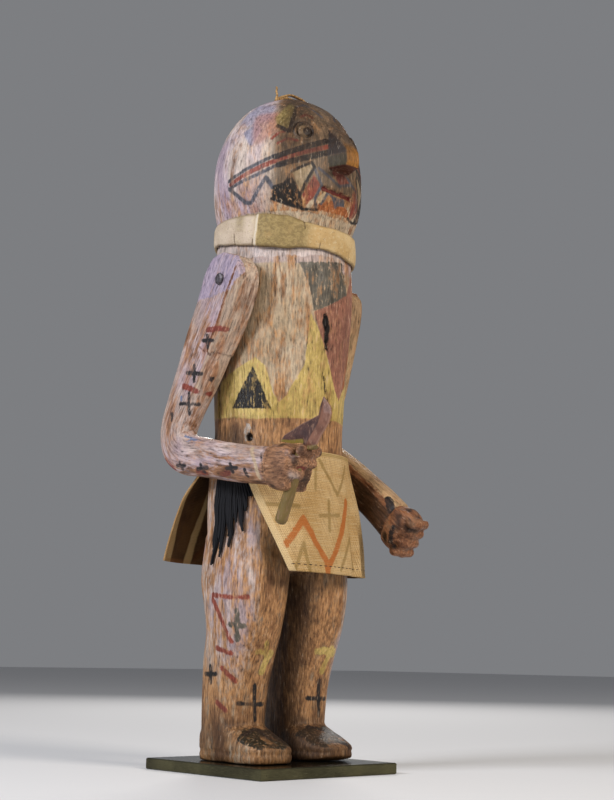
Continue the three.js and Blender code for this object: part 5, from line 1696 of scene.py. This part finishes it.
def handle_skin():
    start = np.array([-KNIFE["out"], KNIFE["butt"][0], SOLE + KNIFE["butt"][1]])
    end = np.array([-KNIFE["out"], KNIFE["neck"][0], SOLE + KNIFE["neck"][1]])
    heading = (end - start) / np.linalg.norm(end - start)
    over = np.cross(heading, X)
    half = KNIFE["handle"] / 2
    rings = [ring(start + (end - start) * share, X, over, half * size, half * size, 2.3, 28)
             for share, size in ((0, 0.55), (0.02, 0.85), (0.06, 1.0), (0.3, 0.98), (0.6, 0.9),
                                 (0.85, 0.95), (1, 0.9))]
    return loft(rings)


def shape_knife(mesh):
    """Bevels the blade to its edges, roughens the handle and lays out the paint."""
    points, normals = points_of(mesh), normals_of(mesh)
    flat_spots = points[:, 1:] - (0, SOLE)
    blade_zone = flat_spots[:, 1] > BLADE_FOOT
    edge = -area(flat_spots, BLADE)
    off = points[:, 0] + KNIFE["out"]
    bevelled = np.minimum(np.abs(off), KNIFE_EDGE + BEVEL_SLOPE * np.clip(edge, 0, None))
    points[:, 0] = np.where(blade_zone, np.sign(off) * bevelled - KNIFE["out"], points[:, 0])
    push = 0.12 * drift(points, (5, 5, 9), 41) * ~blade_zone
    move_to(mesh, points + normals * push[:, None])
    mark(mesh, "grip", BLADE_FOOT + 0.5 - flat_spots[:, 1])
    mark(mesh, "foot", line(flat_spots, BLADE_STRIPE, 1.2))
    mark(mesh, "ridge", line(flat_spots, RIDGE, 0))
    mark(mesh, "lit_facet", area(flat_spots, LIT_FACET))
    mark(mesh, "edge", edge)


def knife_paint():
    finish = Finish("knife_paint")
    place = finish.place()
    fibre = finish.noise(place, (1, 0.4, 0.1), 1500, 4)
    cloud = finish.noise(place, (1, 1, 1), 160, 4)
    base = finish.blend(finish.span(cloud, 0.35, 0.65), colour("#392524"), colour("#523731"))
    # One facet of the blade is painted lighter as painted light, while the other stays darker.
    base = finish.blend(finish.span(finish.field("lit_facet"), 0.4, -0.4, 0, 0.9), base,
                        finish.blend(finish.span(cloud, 0.35, 0.65), colour("#633f31"),
                                     colour("#7d5442")))
    base = finish.blend(finish.span(finish.field("ridge"), 0.9, 0.2, 0, 0.5), base,
                        colour("#251618"))
    base = finish.blend(finish.span(finish.field("edge"), 0.9, 0.2, 0, 0.5), base,
                        colour("#94705a"))
    grip = finish.blend(cloud, colour("#574723"), colour("#7a6536"))
    base = finish.blend(finish.span(finish.field("grip"), -0.6, 0.6), base, grip)
    base = finish.blend(finish.span(finish.field("foot"), 0.5, -0.3, 0, 0.9), base,
                        colour("#7f6e2a"))
    worn = finish.span(fibre, 0.52, 0.66, 0, 0.5)
    base = finish.blend(worn, base, colour("#8d6c58"))
    normal = finish.bump(fibre, 0.0004)
    return finish.end(base, 0.5, normal, Specular_IOR_Level=0.35)


knife = carved("knife_carved", [blade_skin(), handle_skin()], KNIFE_VOXEL)
shape_knife(knife.data)
knife.data.materials.clear()
knife.data.materials.append(knife_paint())
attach(knife, "root")
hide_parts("knife")


# The thong: a narrow strip of hide let into the crown, where a headdress was tied. It arches
# over and knots at the left, and one cut end stands up.
THONG_AHEAD = -9
ARCH = [(-15.5, 390.6), (-13.0, 393.4), (-9.5, 395.4), (-5, 397.4), (-1, 398.2), (3.5, 398.0),
        (7, 397.0), (10.6, 394.6), (13.5, 391.4)]
UNDER = [(-14.5, 391.2), (-8, 394.6), (0, 395.6), (8, 394.6), (13, 391.6)]
TAIL = [(-14.6, 391.6), (-14.4, 394), (-14.2, 396.4), (-14.6, 398.6), (-14.5, 400.6)]
STRIP_RINGS, STRIP_SIDES, THONG_VOXEL = 40, 14, 0.42


def strip_skin(path, wide, thick):
    rows = [[i, x, z] for i, (x, z) in enumerate(path)]
    middles = np.array([[along(rows, place, 1), THONG_AHEAD, SOLE + along(rows, place, 2)]
                        for place in np.linspace(0, len(path) - 1, STRIP_RINGS)])
    rings = []
    for i, spot in enumerate(middles):
        run = middles[min(i + 1, len(middles) - 1)] - middles[max(i - 1, 0)]
        over = np.cross(run / np.linalg.norm(run), Y)
        wander = 0.35 * math.sin(i * 0.35)
        rings.append(ring(spot + Y * wander, Y, over, wide / 2, thick / 2, 2.6, STRIP_SIDES))
    return loft(rings)


thong = carved("head_thong_strip", [
    strip_skin(ARCH, 2.6, 1.3), strip_skin(UNDER, 1.8, 1.2), strip_skin(TAIL, 1.3, 1.3),
    knob((12.4, THONG_AHEAD - 1.2, SOLE + 393.0), (14.2, THONG_AHEAD + 0.6, SOLE + 392.0), 1.3),
], THONG_VOXEL)


def thong_hide():
    finish = Finish("thong_hide")
    place = finish.place()
    fibre = finish.noise(place, (1, 1, 1), 900, 4)
    base = finish.blend(finish.span(fibre, 0.35, 0.65), colour("#6d4f2b"), colour("#b08a55"))
    return finish.end(base, 0.75, finish.bump(fibre, 0.00015))


thong.data.materials.clear()
thong.data.materials.append(thong_hide())
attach(thong, "root")
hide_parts("head_thong")
